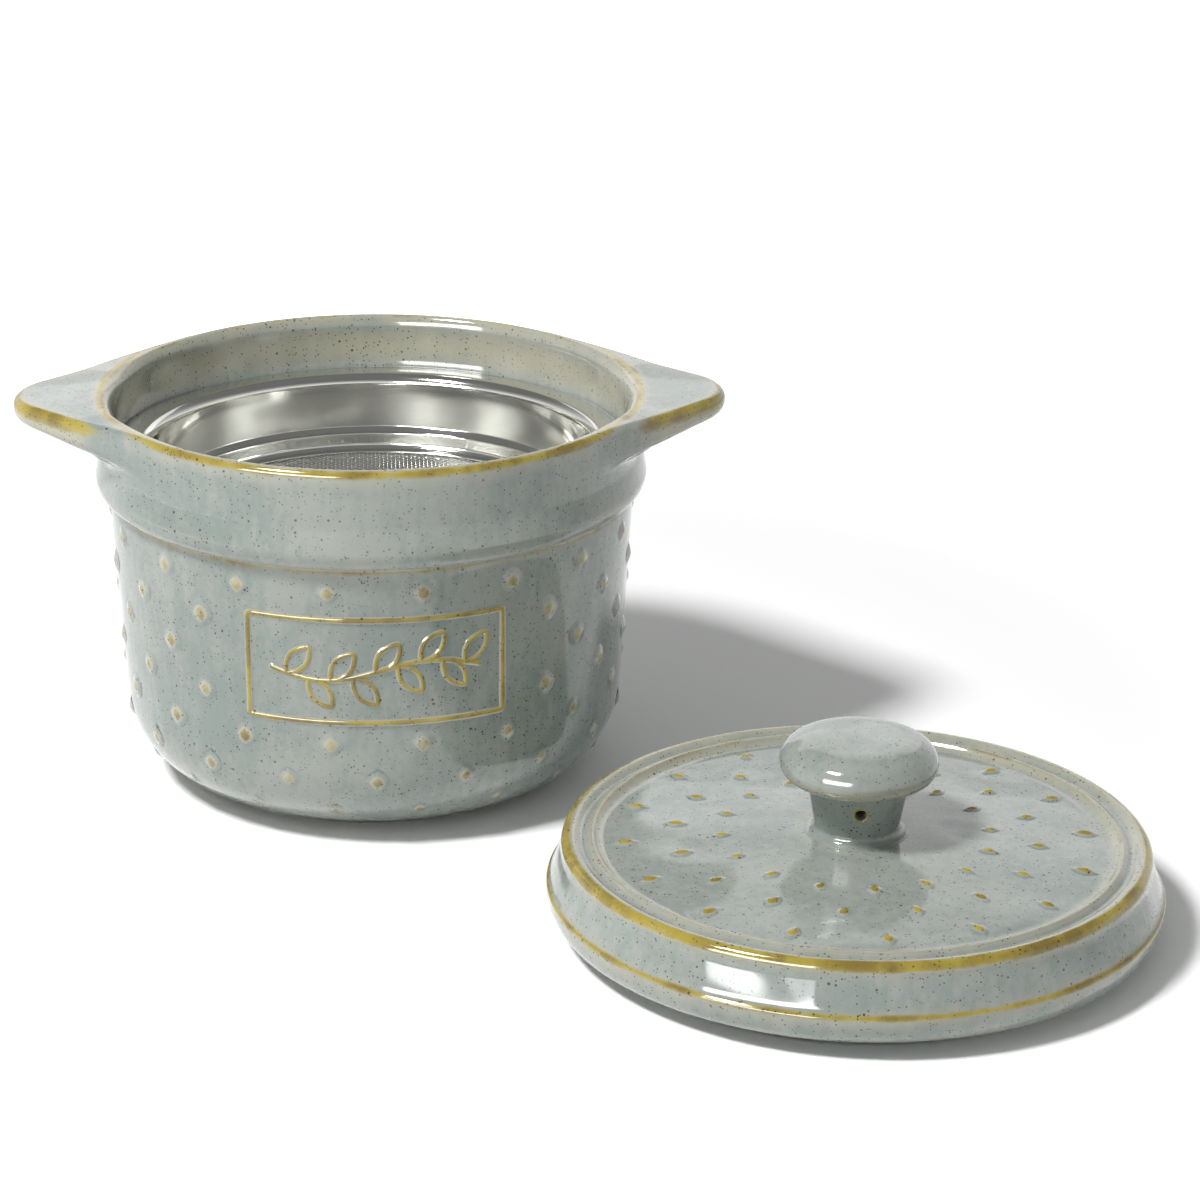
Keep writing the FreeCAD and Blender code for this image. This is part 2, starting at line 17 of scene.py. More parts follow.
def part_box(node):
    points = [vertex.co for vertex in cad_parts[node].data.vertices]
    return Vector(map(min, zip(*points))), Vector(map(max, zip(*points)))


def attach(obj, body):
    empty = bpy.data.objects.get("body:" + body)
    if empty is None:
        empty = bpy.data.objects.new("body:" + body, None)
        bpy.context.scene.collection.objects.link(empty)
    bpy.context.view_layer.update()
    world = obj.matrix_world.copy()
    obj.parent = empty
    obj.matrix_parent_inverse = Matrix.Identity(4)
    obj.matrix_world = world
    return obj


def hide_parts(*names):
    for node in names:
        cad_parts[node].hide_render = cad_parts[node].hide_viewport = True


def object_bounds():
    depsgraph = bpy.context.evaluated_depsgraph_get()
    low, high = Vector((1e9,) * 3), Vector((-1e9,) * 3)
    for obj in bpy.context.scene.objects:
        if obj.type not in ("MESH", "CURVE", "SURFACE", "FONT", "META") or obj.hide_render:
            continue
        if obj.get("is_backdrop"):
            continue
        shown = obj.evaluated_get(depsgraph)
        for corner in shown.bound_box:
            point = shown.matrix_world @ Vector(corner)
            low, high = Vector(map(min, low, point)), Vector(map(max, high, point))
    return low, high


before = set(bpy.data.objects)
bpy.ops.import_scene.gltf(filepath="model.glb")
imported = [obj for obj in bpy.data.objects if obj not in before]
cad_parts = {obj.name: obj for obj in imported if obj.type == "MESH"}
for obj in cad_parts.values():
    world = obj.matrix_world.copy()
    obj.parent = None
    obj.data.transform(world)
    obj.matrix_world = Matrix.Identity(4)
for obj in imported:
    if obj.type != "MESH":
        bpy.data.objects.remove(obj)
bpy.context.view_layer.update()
MM = 0.001
lid_low, lid_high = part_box("lid")
lid_middle = (lid_low + lid_high) / 2
LID_CENTRE = (lid_middle.x / MM, lid_middle.y / MM, 0)
KNOB_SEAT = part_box("knob")[0].z / MM


def level(piece, end):
    """The height of a CAD piece's underside (end 0) or of its top (end 1)."""
    return round(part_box(piece)[end].z / MM, 2)


RIM_HEIGHT = level("crock", 1)
FLANGE_TOP = level("strainer_pan", 1)
RING_LOW, RING_TOP = level("mesh_ring", 0), level("mesh_ring", 1)

# %% [markdown]
# ## The camera comes first
#
# Every later choice is judged against the photo, so the camera is fixed before anything
# else. It could be set by eye. Its place and lens were fitted instead, to the outlines of the
# rim, the lugs and the lid.

# %% Set the camera
YAW, PITCH, ROLL = (math.radians(angle) for angle in (4.027, 20.447, 0.558))
CAMERA_PLACE = Vector((-3.32, -918.96, 387.13))
PHOTO_WIDTH, FOCAL_PIXELS, SENSOR_WIDTH = 1200, 3610.46, 36
sight = Vector((math.sin(YAW) * math.cos(PITCH), math.cos(YAW) * math.cos(PITCH), -math.sin(PITCH)))
level_right = Vector((math.cos(YAW), -math.sin(YAW), 0))
level_up = level_right.cross(sight)
right = level_right * math.cos(ROLL) + level_up * math.sin(ROLL)
up = level_up * math.cos(ROLL) - level_right * math.sin(ROLL)


def new_object(name, data):
    """Put mesh, camera or light data into the scene as an object."""
    made = bpy.data.objects.new(name, data)
    bpy.context.scene.collection.objects.link(made)
    return made


camera = new_object("camera", bpy.data.cameras.new("camera"))
turn = Matrix((right, up, -sight)).transposed().to_4x4()
camera.matrix_world = Matrix.Translation(CAMERA_PLACE * MM) @ turn
camera.data.sensor_width = SENSOR_WIDTH
camera.data.lens = FOCAL_PIXELS / PHOTO_WIDTH * SENSOR_WIDTH
camera.data.clip_start = 0.05
bpy.context.scene.camera = camera
bpy.context.scene.view_settings.view_transform = "Standard"
print("camera at", [round(value, 3) for value in camera.location])

# %% [markdown]
# ## Helpers for turned clay and spun steel
#
# Nearly everything here is round, so one helper turns a profile into a surface. A profile is
# a list of (radius, height) points. It may differ from one bearing to the next, which is how
# the lugs grow out of the rim without a seam. The clay's points carry two numbers for the
# glaze: `edge`, where it breaks to ochre, and `haze`, where it warms to beige.


# %% Profile and surface helpers
def straight(start, end, count):
    """Points from start to end, without the first one."""
    steps = np.linspace(0, 1, count + 1)[1:, None]
    return np.array(start) * (1 - steps) + np.array(end) * steps


def round_part(centre, radii, begin, end, count):
    """Points of an oval arc between two angles in degrees, both ends included."""
    angles = np.radians(np.linspace(begin, end, count + 1))
    return np.stack([centre[0] + radii[0] * np.cos(angles),
                     centre[1] + radii[1] * np.sin(angles)], axis=1)


def soft_step(low, high, value):
    """Rise smoothly from 0 at the low value to 1 at the high one."""
    share = np.clip((value - low) / (high - low), 0, 1)
    return share * share * (3 - 2 * share)


def near(points, anchors):
    """How close each point lies to the nearest anchor (radius, height, reach, strength)."""
    weight = np.zeros(len(points))
    for radius, height, reach, strength in anchors:
        away = np.hypot(points[:, 0] - radius, points[:, 1] - height)
        weight = np.maximum(weight, strength * np.exp(-(away / reach) ** 2))
    return weight


def store(mesh, label, values):
    """Store a number on each point of a mesh, where a material or a tree can read it."""
    mesh.attributes.new(label, "FLOAT", "POINT").data.foreach_set("value", values)


def add_mesh(name, points, faces, body, slot, material, **numbers):
    """A smooth mesh in the part's frame that rides on a body, with numbers on its points."""
    mesh = bpy.data.meshes.new(name)
    mesh.from_pydata(np.asarray(points).tolist(), [], faces)
    for label, values in numbers.items():
        store(mesh, label, values)
    mesh.shade_smooth()
    mesh.materials.append(material)
    piece = new_object(name, mesh)
    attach(piece, body)
    return piece


def grid_faces(rows, columns, wrap=False, loop=False):
    """Quads of a grid stored row by row. Wrap joins the last column to the first, loop the rows."""
    row, column = np.mgrid[0:rows if loop else rows - 1, 0:columns if wrap else columns - 1]
    ahead, beside = (row + 1) % rows, (column + 1) % columns
    quads = [row * columns + column, row * columns + beside,
             ahead * columns + beside, ahead * columns + column]
    return np.stack(quads, axis=-1).reshape(-1, 4).tolist()


def apart(profiles):
    """Which points of the profiles lie apart from the one before, on any bearing."""
    steps = np.hypot(np.diff(profiles[..., 0], axis=1), np.diff(profiles[..., 1], axis=1))
    return np.concatenate([[True], steps.max(axis=0) > 0.01])


def turned_points(profile_at, columns):
    """Grid points of a turned surface, and its profiles without doubled points."""
    bearings = np.arange(columns) * 2 * math.pi / columns
    profiles = np.array([profile_at(bearing) for bearing in bearings])
    profiles = profiles[:, apart(profiles)]
    radius, height = profiles[:, :, 0].T, profiles[:, :, 1].T
    grid = np.stack([radius * np.cos(bearings), radius * np.sin(bearings), height], axis=-1)
    return grid, profiles


def turned_surface(name, profile_at, columns, weights, centre, body, slot, material):
    """Turn a profile about an upright axis. The profile starts and ends on the axis."""
    grid, profiles = turned_points(profile_at, columns)
    rows = grid.shape[0]
    inner = grid[1:-1].reshape(-1, 3)
    points = np.vstack([inner, grid[0, :1], grid[-1, :1]]) + np.array(centre)
    faces = grid_faces(rows - 2, columns, wrap=True)
    first, last = len(inner), len(inner) + 1
    tail = (rows - 3) * columns
    for column in range(columns):
        beside = (column + 1) % columns
        faces.append([first, beside, column])
        faces.append([last, tail + column, tail + beside])
    numbers = {}
    for label, weigh in weights.items():
        values = np.array([weigh(profile) for profile in profiles]).T
        numbers[label] = np.concatenate([values[1:-1].ravel(), values[0, :1], values[-1, :1]])
    return add_mesh(name, points * MM, faces, body, slot, material, **numbers)


# %% [markdown]
# ## The glaze
#
# The real glaze is a runny one. It thins over edges, where it turns beige and ochre, and iron
# in the clay bleeds through as specks. It could be painted on a picture, but noise needs none
# and stays sharp close up. One node group holds what both glazed materials share: a sage
# ground with slow drift, the haze, the ochre breaks and the specks. It puts out a colour, a
# roughness and a height for the bump.


# %% Node helpers
def new_group(name, kind, inputs, outputs):
    """A node group with named sockets, from two tables of a label and a kind of value."""
    group = bpy.data.node_groups.new(name, kind)
    for way, sockets in (("INPUT", inputs), ("OUTPUT", outputs)):
        for label, value in sockets.items():
            group.interface.new_socket(label, in_out=way, socket_type=f"NodeSocket{value}")
    return group, group.nodes.new("NodeGroupInput"), group.nodes.new("NodeGroupOutput")


def add_node(tree, kind, inputs=None, **settings):
    """Add a node, set its settings, and fill its inputs with values or other sockets."""
    node = tree.nodes.new(kind)
    for label, value in settings.items():
        setattr(node, label, value)
    for key, value in (inputs or {}).items():
        socket = node.inputs[key]
        if isinstance(value, bpy.types.NodeSocket):
            tree.links.new(value, socket)
        else:
            socket.default_value = value
    return node


def node_output(tree, kind, inputs=None, **settings):
    """Add a node and give its first output."""
    return add_node(tree, kind, inputs, **settings).outputs[0]


def maths(tree, operation, first, second=0.0, third=0.0, clamp=False):
    return node_output(tree, "ShaderNodeMath", {0: first, 1: second, 2: third},
                       operation=operation, use_clamp=clamp)


def vector_of(tree, parts):
    """A vector from some of its parts by number. The others are 0."""
    return node_output(tree, "ShaderNodeCombineXYZ", parts)


def mask(tree, value, low, high):
    """A smooth rise from 0 to 1 between two values."""
    node = add_node(tree, "ShaderNodeMapRange",
                    {"Value": value, "From Min": low, "From Max": high},
                    interpolation_type="SMOOTHSTEP")
    return node.outputs["Result"]


def mix_colour(tree, share, first, second):
    node = add_node(tree, "ShaderNodeMix", {0: share, 6: first, 7: second}, data_type="RGBA")
    return node.outputs[2]


def noise(tree, vector, scale, detail=2.0, rough=0.5):
    node = add_node(tree, "ShaderNodeTexNoise",
                    {"Vector": vector, "Scale": scale, "Detail": detail, "Roughness": rough})
    return node.outputs["Fac"]


def speck_layer(tree, vector, scale, share, largest):
    """Round specks in the cells of a noise. The share sets how many cells have one."""
    cells = add_node(tree, "ShaderNodeTexVoronoi", {"Vector": vector, "Scale": scale})
    chance = add_node(tree, "ShaderNodeSeparateColor", {0: cells.outputs["Color"]})
    kept = mask(tree, chance.outputs[0], 1 - share - 0.1, 1 - share + 0.1)
    reach = maths(tree, "MULTIPLY_ADD", chance.outputs[1], largest, 0.08)
    inside = maths(tree, "SUBTRACT", reach, cells.outputs["Distance"])
    return maths(tree, "MULTIPLY", mask(tree, inside, 0.0, 0.10), kept)


HAZE_COLOUR = (0.41, 0.388, 0.295, 1)
OCHRE, BROWN = (0.350, 0.275, 0.034, 1), (0.185, 0.130, 0.018, 1)
IRON = (0.045, 0.034, 0.020, 1)


def build_glaze_group():
    """Build the shared glaze once."""
    group, given, result = new_group(
        "glaze", "ShaderNodeTree",
        {"Vector": "Vector", "Edge": "Float", "Haze": "Float", "Ground": "Color", "Deep": "Color"},
        {"Colour": "Color", "Roughness": "Float", "Height": "Float"})
    vector = given.outputs["Vector"]
    cloud = noise(group, vector, 28.0, 3.0)
    patch = noise(group, vector, 90.0, 3.0, 0.6)
    grain = noise(group, vector, 520.0, 2.0, 0.6)

    stretched = node_output(group, "ShaderNodeVectorMath", {0: vector, 1: (1.0, 1.0, 0.22)},
                            operation="MULTIPLY")
    streaks = maths(group, "MULTIPLY_ADD", noise(group, stretched, 330.0, 2.0), 0.5, -0.25)
    streaks = maths(group, "MULTIPLY_ADD", grain, 0.35, maths(group, "SUBTRACT", streaks, 0.175))
    ground = mix_colour(group, mask(group, maths(group, "ADD", cloud, streaks), 0.30, 0.70),
                        given.outputs["Ground"], given.outputs["Deep"])
    ragged = maths(group, "MULTIPLY_ADD", patch, 0.56, -0.28)
    fine = maths(group, "MULTIPLY_ADD", grain, 0.16, -0.08)
    broken = maths(group, "ADD", ragged, fine)
    haze = mask(group, maths(group, "ADD", given.outputs["Haze"], broken), 0.15, 0.95)
    warm = mix_colour(group, maths(group, "MULTIPLY", haze, 0.85), ground, HAZE_COLOUR)
    edge = mask(group, maths(group, "ADD", given.outputs["Edge"], broken), 0.38, 0.80)
    ochre = mix_colour(group, mask(group, patch, 0.38, 0.68), OCHRE, BROWN)
    coloured = mix_colour(group, maths(group, "MULTIPLY", edge, 0.95), warm, ochre)

    specks = maths(group, "MAXIMUM", speck_layer(group, vector, 620.0, 0.42, 0.20),
                   speck_layer(group, vector, 1250.0, 0.55, 0.27))
    drift = mask(group, cloud, 0.25, 0.6)
    darkness = maths(group, "MULTIPLY_ADD", drift, 0.30, 0.66)
    final = mix_colour(group, maths(group, "MULTIPLY", specks, darkness), coloured, IRON)

    shine = maths(group, "MULTIPLY_ADD", grain, 0.05, 0.07)
    waves = noise(group, vector, 62.0, 0.0)
    swell = maths(group, "MULTIPLY_ADD", waves, 0.85, noise(group, vector, 24.0, 0.0))
    group.links.new(final, result.inputs["Colour"])
    group.links.new(shine, result.inputs["Roughness"])
    group.links.new(swell, result.inputs["Height"])
    return group


GLAZE = build_glaze_group()
print("glaze group:", len(GLAZE.nodes), "nodes")

# %% [markdown]
# ## Glaze and steel materials
#
# Crock and lid wear nearly the same glaze, the lid's a shade lighter and with more swell. The
# strainer is drawn sheet and wire. Its turning marks could be modelled, but a noise that is
# squeezed along the upright axis and varies the roughness is enough.


# %% Make the materials
def new_material(name):
    material = bpy.data.materials.new(name)
    material.use_nodes = True
    tree = material.node_tree
    tree.nodes.clear()
    shader = add_node(tree, "ShaderNodeBsdfPrincipled")
    output = add_node(tree, "ShaderNodeOutputMaterial")
    tree.links.new(shader.outputs[0], output.inputs["Surface"])
    return material, tree, shader


def length_of(tree, vector):
    return add_node(tree, "ShaderNodeVectorMath", {0: vector}, operation="LENGTH").outputs["Value"]


def object_vector(tree):
    return add_node(tree, "ShaderNodeTexCoord").outputs["Object"]


def number_of(tree, label):
    return add_node(tree, "ShaderNodeAttribute", attribute_name=label).outputs["Fac"]


# Painted shade, near black, for the inside of the vent.
VENT_SHADE_COLOUR = (0.02, 0.015, 0.01, 1)


def glaze_material(name, ground, deep, swell):
    """A glazed material. Its meshes carry the numbers edge, haze and, for the vent, a number that
    paints shade into the hole.
    """
    material, tree, shader = new_material(name)
    glaze = add_node(tree, "ShaderNodeGroup", node_tree=GLAZE)
    tree.links.new(object_vector(tree), glaze.inputs["Vector"])
    tree.links.new(number_of(tree, "edge"), glaze.inputs["Edge"])
    tree.links.new(number_of(tree, "haze"), glaze.inputs["Haze"])
    glaze.inputs["Ground"].default_value = ground
    glaze.inputs["Deep"].default_value = deep
    bump = add_node(tree, "ShaderNodeBump", {"Strength": swell, "Distance": 0.0012,
                                             "Height": glaze.outputs["Height"]})
    # The vent's number mixes painted shade into the colour where the hole is deep.
    colour = mix_colour(tree, number_of(tree, "vent_shade"), glaze.outputs["Colour"], VENT_SHADE_COLOUR)
    tree.links.new(colour, shader.inputs["Base Color"])
    tree.links.new(glaze.outputs["Roughness"], shader.inputs["Roughness"])
    tree.links.new(bump.outputs[0], shader.inputs["Normal"])
    shader.inputs["IOR"].default_value = 1.52
    shader.inputs["Coat Weight"].default_value = 0.35
    shader.inputs["Coat Roughness"].default_value = 0.03
    return material


def steel_material(name, colour, roughness, lines):
    """Steel with marks that run round the axis, finer where lines is larger."""
    material, tree, shader = new_material(name)
    stretched = node_output(tree, "ShaderNodeVectorMath",
                            {0: object_vector(tree), 1: (1.0, 1.0, lines)}, operation="MULTIPLY")
    grain = noise(tree, stretched, 60.0, 4.0, 0.6)
    rough = maths(tree, "MULTIPLY_ADD", grain, roughness * 0.4, roughness * 0.8)
    tint = mix_colour(tree, grain, colour, [value * 0.90 for value in colour[:3]] + [1])
    tree.links.new(tint, shader.inputs["Base Color"])
    tree.links.new(rough, shader.inputs["Roughness"])
    shader.inputs["Metallic"].default_value = 1.0
    return material


crock_glaze = glaze_material("crock_glaze", (0.290, 0.308, 0.282, 1),
                             (0.205, 0.243, 0.224, 1), 0.25)
lid_glaze = glaze_material("lid_glaze", (0.292, 0.311, 0.286, 1),
                           (0.215, 0.252, 0.234, 1), 1.0)
pan_steel = steel_material("pan_steel", (0.80, 0.80, 0.76, 1), 0.09, 14.0)
mesh_steel = steel_material("mesh_steel", (0.78, 0.78, 0.74, 1), 0.30, 1.0)
print("materials:", [item.name for item in (crock_glaze, lid_glaze, pan_steel, mesh_steel)])

# %% [markdown]
# ## The crock and its lugs
#
# On the real pot the lugs are ears of clay luted on the rim, and the glaze hides the joint.
# They could be modelled apart and joined, which leaves a seam to hide. Here they are one
# surface with the rim. A helper says how far the outline reaches on each bearing: at the lugs
# along two straight sides that meet in a rounded tip, elsewhere no farther than the rim.

# %% Build the crock
MOUTH_RADIUS, COLLAR_RADIUS = 68, 71.9
FLOOR_HEIGHT, LEDGE_HEIGHT = 7.2, 89.6
WALL_TOP, WALL_LOW = (69.8, 78.2), (66.8, 23.9)
BASE_CENTRE, BASE_ROUNDING = (43.7, 23.9), 23.1
FOOT_DEPTH = 1.2
TIP_ROUNDING, TIP_CENTRE = 17.0, 77.3
LUG_START, LUG_FALL = 73.4, 60
UNDER_HEIGHT, FILLET_HEIGHT = 3.2, 4.5


def wall_radius(height):
    share = (height - WALL_LOW[1]) / (WALL_TOP[1] - WALL_LOW[1])
    return WALL_LOW[0] + (WALL_TOP[0] - WALL_LOW[0]) * share


def lug_reach(bearing):
    """How far the lug stands out beyond the collar on a bearing, with a soft start."""
    turn = math.acos(min(abs(math.cos(bearing)), 1))
    slant = TIP_CENTRE + TIP_ROUNDING * math.sqrt(2)
    shoulder = TIP_ROUNDING * math.sqrt(0.5)
    tangent = math.atan2(shoulder, TIP_CENTRE + shoulder)
    if turn < tangent:
        side = TIP_CENTRE * math.sin(turn)
        outline = TIP_CENTRE * math.cos(turn) + math.sqrt(TIP_ROUNDING ** 2 - side ** 2)
    else:
        outline = slant / (math.cos(turn) + math.sin(turn))
    if turn > math.pi / 4:
        outline = slant / math.sqrt(2) - (turn - math.pi / 4) * LUG_FALL
    beyond = outline - COLLAR_RADIUS
    return 0.5 * (beyond + math.sqrt(beyond ** 2 + 1.2)) - 0.01


def crock_profile(bearing):
    """The crock's section on a bearing, from the floor's centre round to the foot's."""
    reach = max(lug_reach(bearing), 0.02)
    grown = float(soft_step(0.5, 12, reach))
    crest = (MOUTH_RADIUS + 2 + 1.6 * grown, RIM_HEIGHT - 0.55 * grown)
    top = RIM_HEIGHT - 0.9 * grown
    throat = RIM_HEIGHT - 4.2 - grown
    outer = COLLAR_RADIUS + reach
    over = 2 + 0.5 * grown
    under = min(UNDER_HEIGHT, reach * 0.5)
    fillet = min(FILLET_HEIGHT, reach * 0.5)
    low = 95.2 + 2.6 * float(soft_step(2, 22, reach))
    root = low - 0.8 - 0.6 * grown
    bend = 45 + 45 * float(soft_step(0.5, 6, reach))
    collar = COLLAR_RADIUS + 0.02
    under_tip = round_part((outer - under, low + UNDER_HEIGHT), (under, UNDER_HEIGHT),
                           -4, -bend, 7)
    at_root = round_part((collar + fillet, root - FILLET_HEIGHT), (fillet, FILLET_HEIGHT),
                         182 - bend, 180, 8)
    parts = [np.array([[0, FLOOR_HEIGHT]]),
             straight((0, FLOOR_HEIGHT), (45.3, FLOOR_HEIGHT), 6),
             round_part((45.3, FLOOR_HEIGHT + 16), (16, 16), -90, 0, 12),
             straight((61.3, FLOOR_HEIGHT + 16), (63.3, LEDGE_HEIGHT - 0.6), 8),
             round_part((63.9, LEDGE_HEIGHT - 0.6), (0.6, 0.6), 180, 90, 3),
             straight((63.9, LEDGE_HEIGHT), (MOUTH_RADIUS - 0.8, LEDGE_HEIGHT), 3),
             round_part((MOUTH_RADIUS - 0.8, LEDGE_HEIGHT + 0.8), (0.8, 0.8), -90, 0, 3),
             straight((MOUTH_RADIUS, LEDGE_HEIGHT + 0.8), (MOUTH_RADIUS, throat), 8),
             round_part((crest[0], throat), (crest[0] - MOUTH_RADIUS, crest[1] - throat),
                        180, 90, 12),
             straight(crest, (outer - over, top), 12),
             round_part((outer - over, top - over), (over, over), 88, 0, 8),
             straight((outer, top - over), (outer, low + UNDER_HEIGHT), 5),
             under_tip, straight(under_tip[-1], at_root[0], 9)[:-1], at_root,
             straight((collar, root - FILLET_HEIGHT), (73.3, 83.6), 9),
             round_part((68.2, 83.4), (5.1, 5.3), 0, -74, 10),
             straight((69.62, 78.0), (69.72, 77.4), 2),
             straight(WALL_TOP - np.array([0.05, 1.0]), WALL_LOW, 26),
             round_part(BASE_CENTRE, (BASE_ROUNDING, BASE_ROUNDING), -4, -79.4, 20),
             straight((47.9, FOOT_DEPTH), (47.3, 0.3), 1),
             round_part((46.9, 0.3), (0.4, 0.3), 0, -90, 2),
             straight((46.9, 0), (43.9, 0), 2),
             straight((43.9, 0), (43.0, FOOT_DEPTH), 2),
             straight((43.0, FOOT_DEPTH), (0, FOOT_DEPTH), 3)]
    return np.vstack(parts)


def lug_share(outer, low, high):
    """How far a section with this outer radius belongs to a lug, from 0 to 1."""
    return float(soft_step(low, high, outer - LUG_START))


def crock_edge(profile):
    """Ochre along the rim, in the crease under the collar and round the lugs."""
    outer = profile[:, 0].max()
    anchors = [(71.7, 104.2, 1.9, 0.82), (69.4, 104.8, 1.4, 0.52), (69.6, 77.7, 0.85, 0.66),
               (outer - 0.7, 102.6, 2.6, lug_share(outer, -2, 7)),
               (outer - 1.0, 98.4, 1.6, 0.6 * lug_share(outer, 1, 8))]
    return near(profile, anchors)


def crock_haze(profile):
    """Beige by the rim, inside the mouth, round the crease, on the lugs and by the foot."""
    outer = profile[:, 0].max()
    lug = lug_share(outer, 1, 8)
    anchors = [(70.0, 104.0, 4.5, 0.70), (62.5, 97.0, 7.0, 1.40), (71.9, 102.2, 3.0, 0.50),
               (70.5, 79.0, 2.4, 0.6), (73.2, 83.0, 2.6, 0.30), (66.0, 20.0, 9.0, 0.20),
               (52.0, 2.5, 5.0, 0.45)]
    anchors += [(outer, 101.0, 6.0, 0.85 * lug), (70.8, 104.6, 3.2, 0.9 * lug)]
    return near(profile, anchors)


crock = turned_surface("crock_clay", crock_profile, 480,
                       {"edge": crock_edge, "haze": crock_haze}, (0, 0, 0),
                       "crock", "crock_glaze", crock_glaze)
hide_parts("crock", "left_lug", "right_lug")
print("crock:", len(crock.data.polygons), "faces")

# %% [markdown]
# ## Studs by Geometry Nodes
#
# The real studs are low drops of clay under the glaze, each a little different. They could be
# modelled one by one, but what repeats is better made once and set by a tree. A stud is a
# small grid whose middle is lifted into a soft diamond. The tree sets one on each point of a
# mesh of places, by the point's rotation and size, and adds wear from a fixed seed. The result
# becomes a plain mesh for each body.


# %% Build the stud tree
def finish_tree(tree, geometry, material, result):
    """Make instances real, give them the material and hand them to the output."""
    real = node_output(tree, "GeometryNodeRealizeInstances", {0: geometry})
    painted = node_output(tree, "GeometryNodeSetMaterial", {"Geometry": real, "Material": material})
    tree.links.new(painted, result.inputs[0])


def build_stud_tree():
    """Set a worn stud on each point of the places."""
    tree, given, result = new_group(
        "studs", "GeometryNodeTree",
        {"Places": "Geometry", "Width": "Float", "Length": "Float", "Relief": "Float",
         "Sink": "Float", "Wear": "Float", "Ochre": "Float", "Seed": "Int",
         "Material": "Material"},
        {"Geometry": "Geometry"})
    values = given.outputs
    width = maths(tree, "MULTIPLY", values["Width"], 1.5)
    length = maths(tree, "MULTIPLY", values["Length"], 1.5)
    patch = node_output(tree, "GeometryNodeMeshGrid", {"Size X": width, "Size Y": length,
                                                       "Vertices X": 21, "Vertices Y": 21})
    spot = add_node(tree, "ShaderNodeSeparateXYZ", {
        0: node_output(tree, "GeometryNodeInputPosition")})

    def bowed(axis, size):
        share = maths(tree, "DIVIDE", maths(tree, "ABSOLUTE", spot.outputs[axis]), values[size])
        return maths(tree, "POWER", maths(tree, "MULTIPLY", share, 2.0), 1.5)

    away = maths(tree, "POWER", maths(tree, "ADD", bowed(0, "Width"), bowed(1, "Length")), 0.667)
    rise = maths(tree, "SUBTRACT", 1.0, maths(tree, "DIVIDE", away, 1.12), clamp=True)
    shaped = mask(tree, rise, 0.0, 1.0)
    lift = maths(tree, "SUBTRACT", maths(tree, "MULTIPLY", shaped, values["Relief"]),
                 values["Sink"])
    raised = node_output(tree, "GeometryNodeSetPosition", {
        "Geometry": patch, "Offset": vector_of(tree, {2: lift})})
    outside = node_output(tree, "FunctionNodeCompare", {0: rise, 1: 0.0005}, data_type="FLOAT",
                          operation="LESS_THAN")
    stud = node_output(tree, "GeometryNodeDeleteGeometry",
                       {"Geometry": raised, "Selection": outside}, domain="POINT")
    ochre = maths(tree, "MULTIPLY", mask(tree, shaped, 0.20, 0.85), values["Ochre"])
    for label, value in (("edge", ochre), ("haze", mask(tree, shaped, 0.02, 0.85))):
        stud = node_output(tree, "GeometryNodeStoreNamedAttribute", {
            "Geometry": stud, "Name": label, "Value": value}, data_type="FLOAT", domain="POINT")
    smooth = node_output(tree, "GeometryNodeSetShadeSmooth", {0: stud})
    turns = node_output(tree, "GeometryNodeInputNamedAttribute", {"Name": "turn"},
                        data_type="FLOAT_VECTOR")
    sizes = node_output(tree, "GeometryNodeInputNamedAttribute", {"Name": "size"},
                        data_type="FLOAT")
    worn = add_node(tree, "FunctionNodeRandomValue", {
        2: maths(tree, "SUBTRACT", 1.0, values["Wear"]), 3: 1.0, 8: values["Seed"]},
        data_type="FLOAT")
    scale = maths(tree, "MULTIPLY", sizes, worn.outputs[1])
    placed = node_output(tree, "GeometryNodeInstanceOnPoints", {
        "Points": values["Places"], "Instance": smooth,
        "Rotation": node_output(tree, "FunctionNodeEulerToRotation", {0: turns}),
        "Scale": vector_of(tree, {0: scale, 1: scale, 2: scale})})
    finish_tree(tree, placed, values["Material"], result)
    return tree


STUD_TREE = build_stud_tree()
print("stud tree:", len(STUD_TREE.nodes), "nodes")


# %% Run a tree on a mesh of places
def run_tree(name, tree, settings, source, body):
    """Run a Geometry Nodes tree on a source mesh and keep the result as a plain mesh."""
    holder = new_object(f"{name}_source", source)
    modifier = holder.modifiers.new("grow", "NODES")
    modifier.node_group = tree
    for item in tree.interface.items_tree:
        if item.in_out == "INPUT" and item.name in settings:
            modifier[item.identifier] = settings[item.name]
    graph = bpy.context.evaluated_depsgraph_get()
    mesh = bpy.data.meshes.new_from_object(holder.evaluated_get(graph), depsgraph=graph)
    mesh.name = name
    bpy.data.objects.remove(holder)
    piece = new_object(name, mesh)
    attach(piece, body)
    return piece


def places_mesh(name, places):
    """A mesh of bare points, each with a rotation and a size, from (matrix, size) pairs."""
    mesh = bpy.data.meshes.new(name)
    mesh.from_pydata([tuple(matrix.translation * MM) for matrix, size in places], [], [])
    turns = [value for matrix, size in places for value in matrix.to_euler()]
    mesh.attributes.new("turn", "FLOAT_VECTOR", "POINT").data.foreach_set("vector", turns)
    store(mesh, "size", [size for matrix, size in places])
    return mesh


# %% [markdown]
# ## Where the crock's studs stand
#
# On the crock the studs stand in rows, each row half a pitch round from the one above. Those
# behind the raised frame are left out, as on the real pot. They could be scattered and thinned
# out, but a loop over rows and bearings is simpler.

# %% Set the studs on the crock
WALL_LEAN = 0.055
STUDS_IN_ROW = 18
ROW_HEIGHTS = (72.0, 61.5, 51.0, 40.5, 30.0, 19.5, 9.8)
ROW_SIZES = (0.95, 1.0, 1.0, 1.0, 1.0, 0.85, 0.6)
PANEL_LOW, PANEL_HIGH, PANEL_SPREAD, FRONT = 34, 68, 31, 270


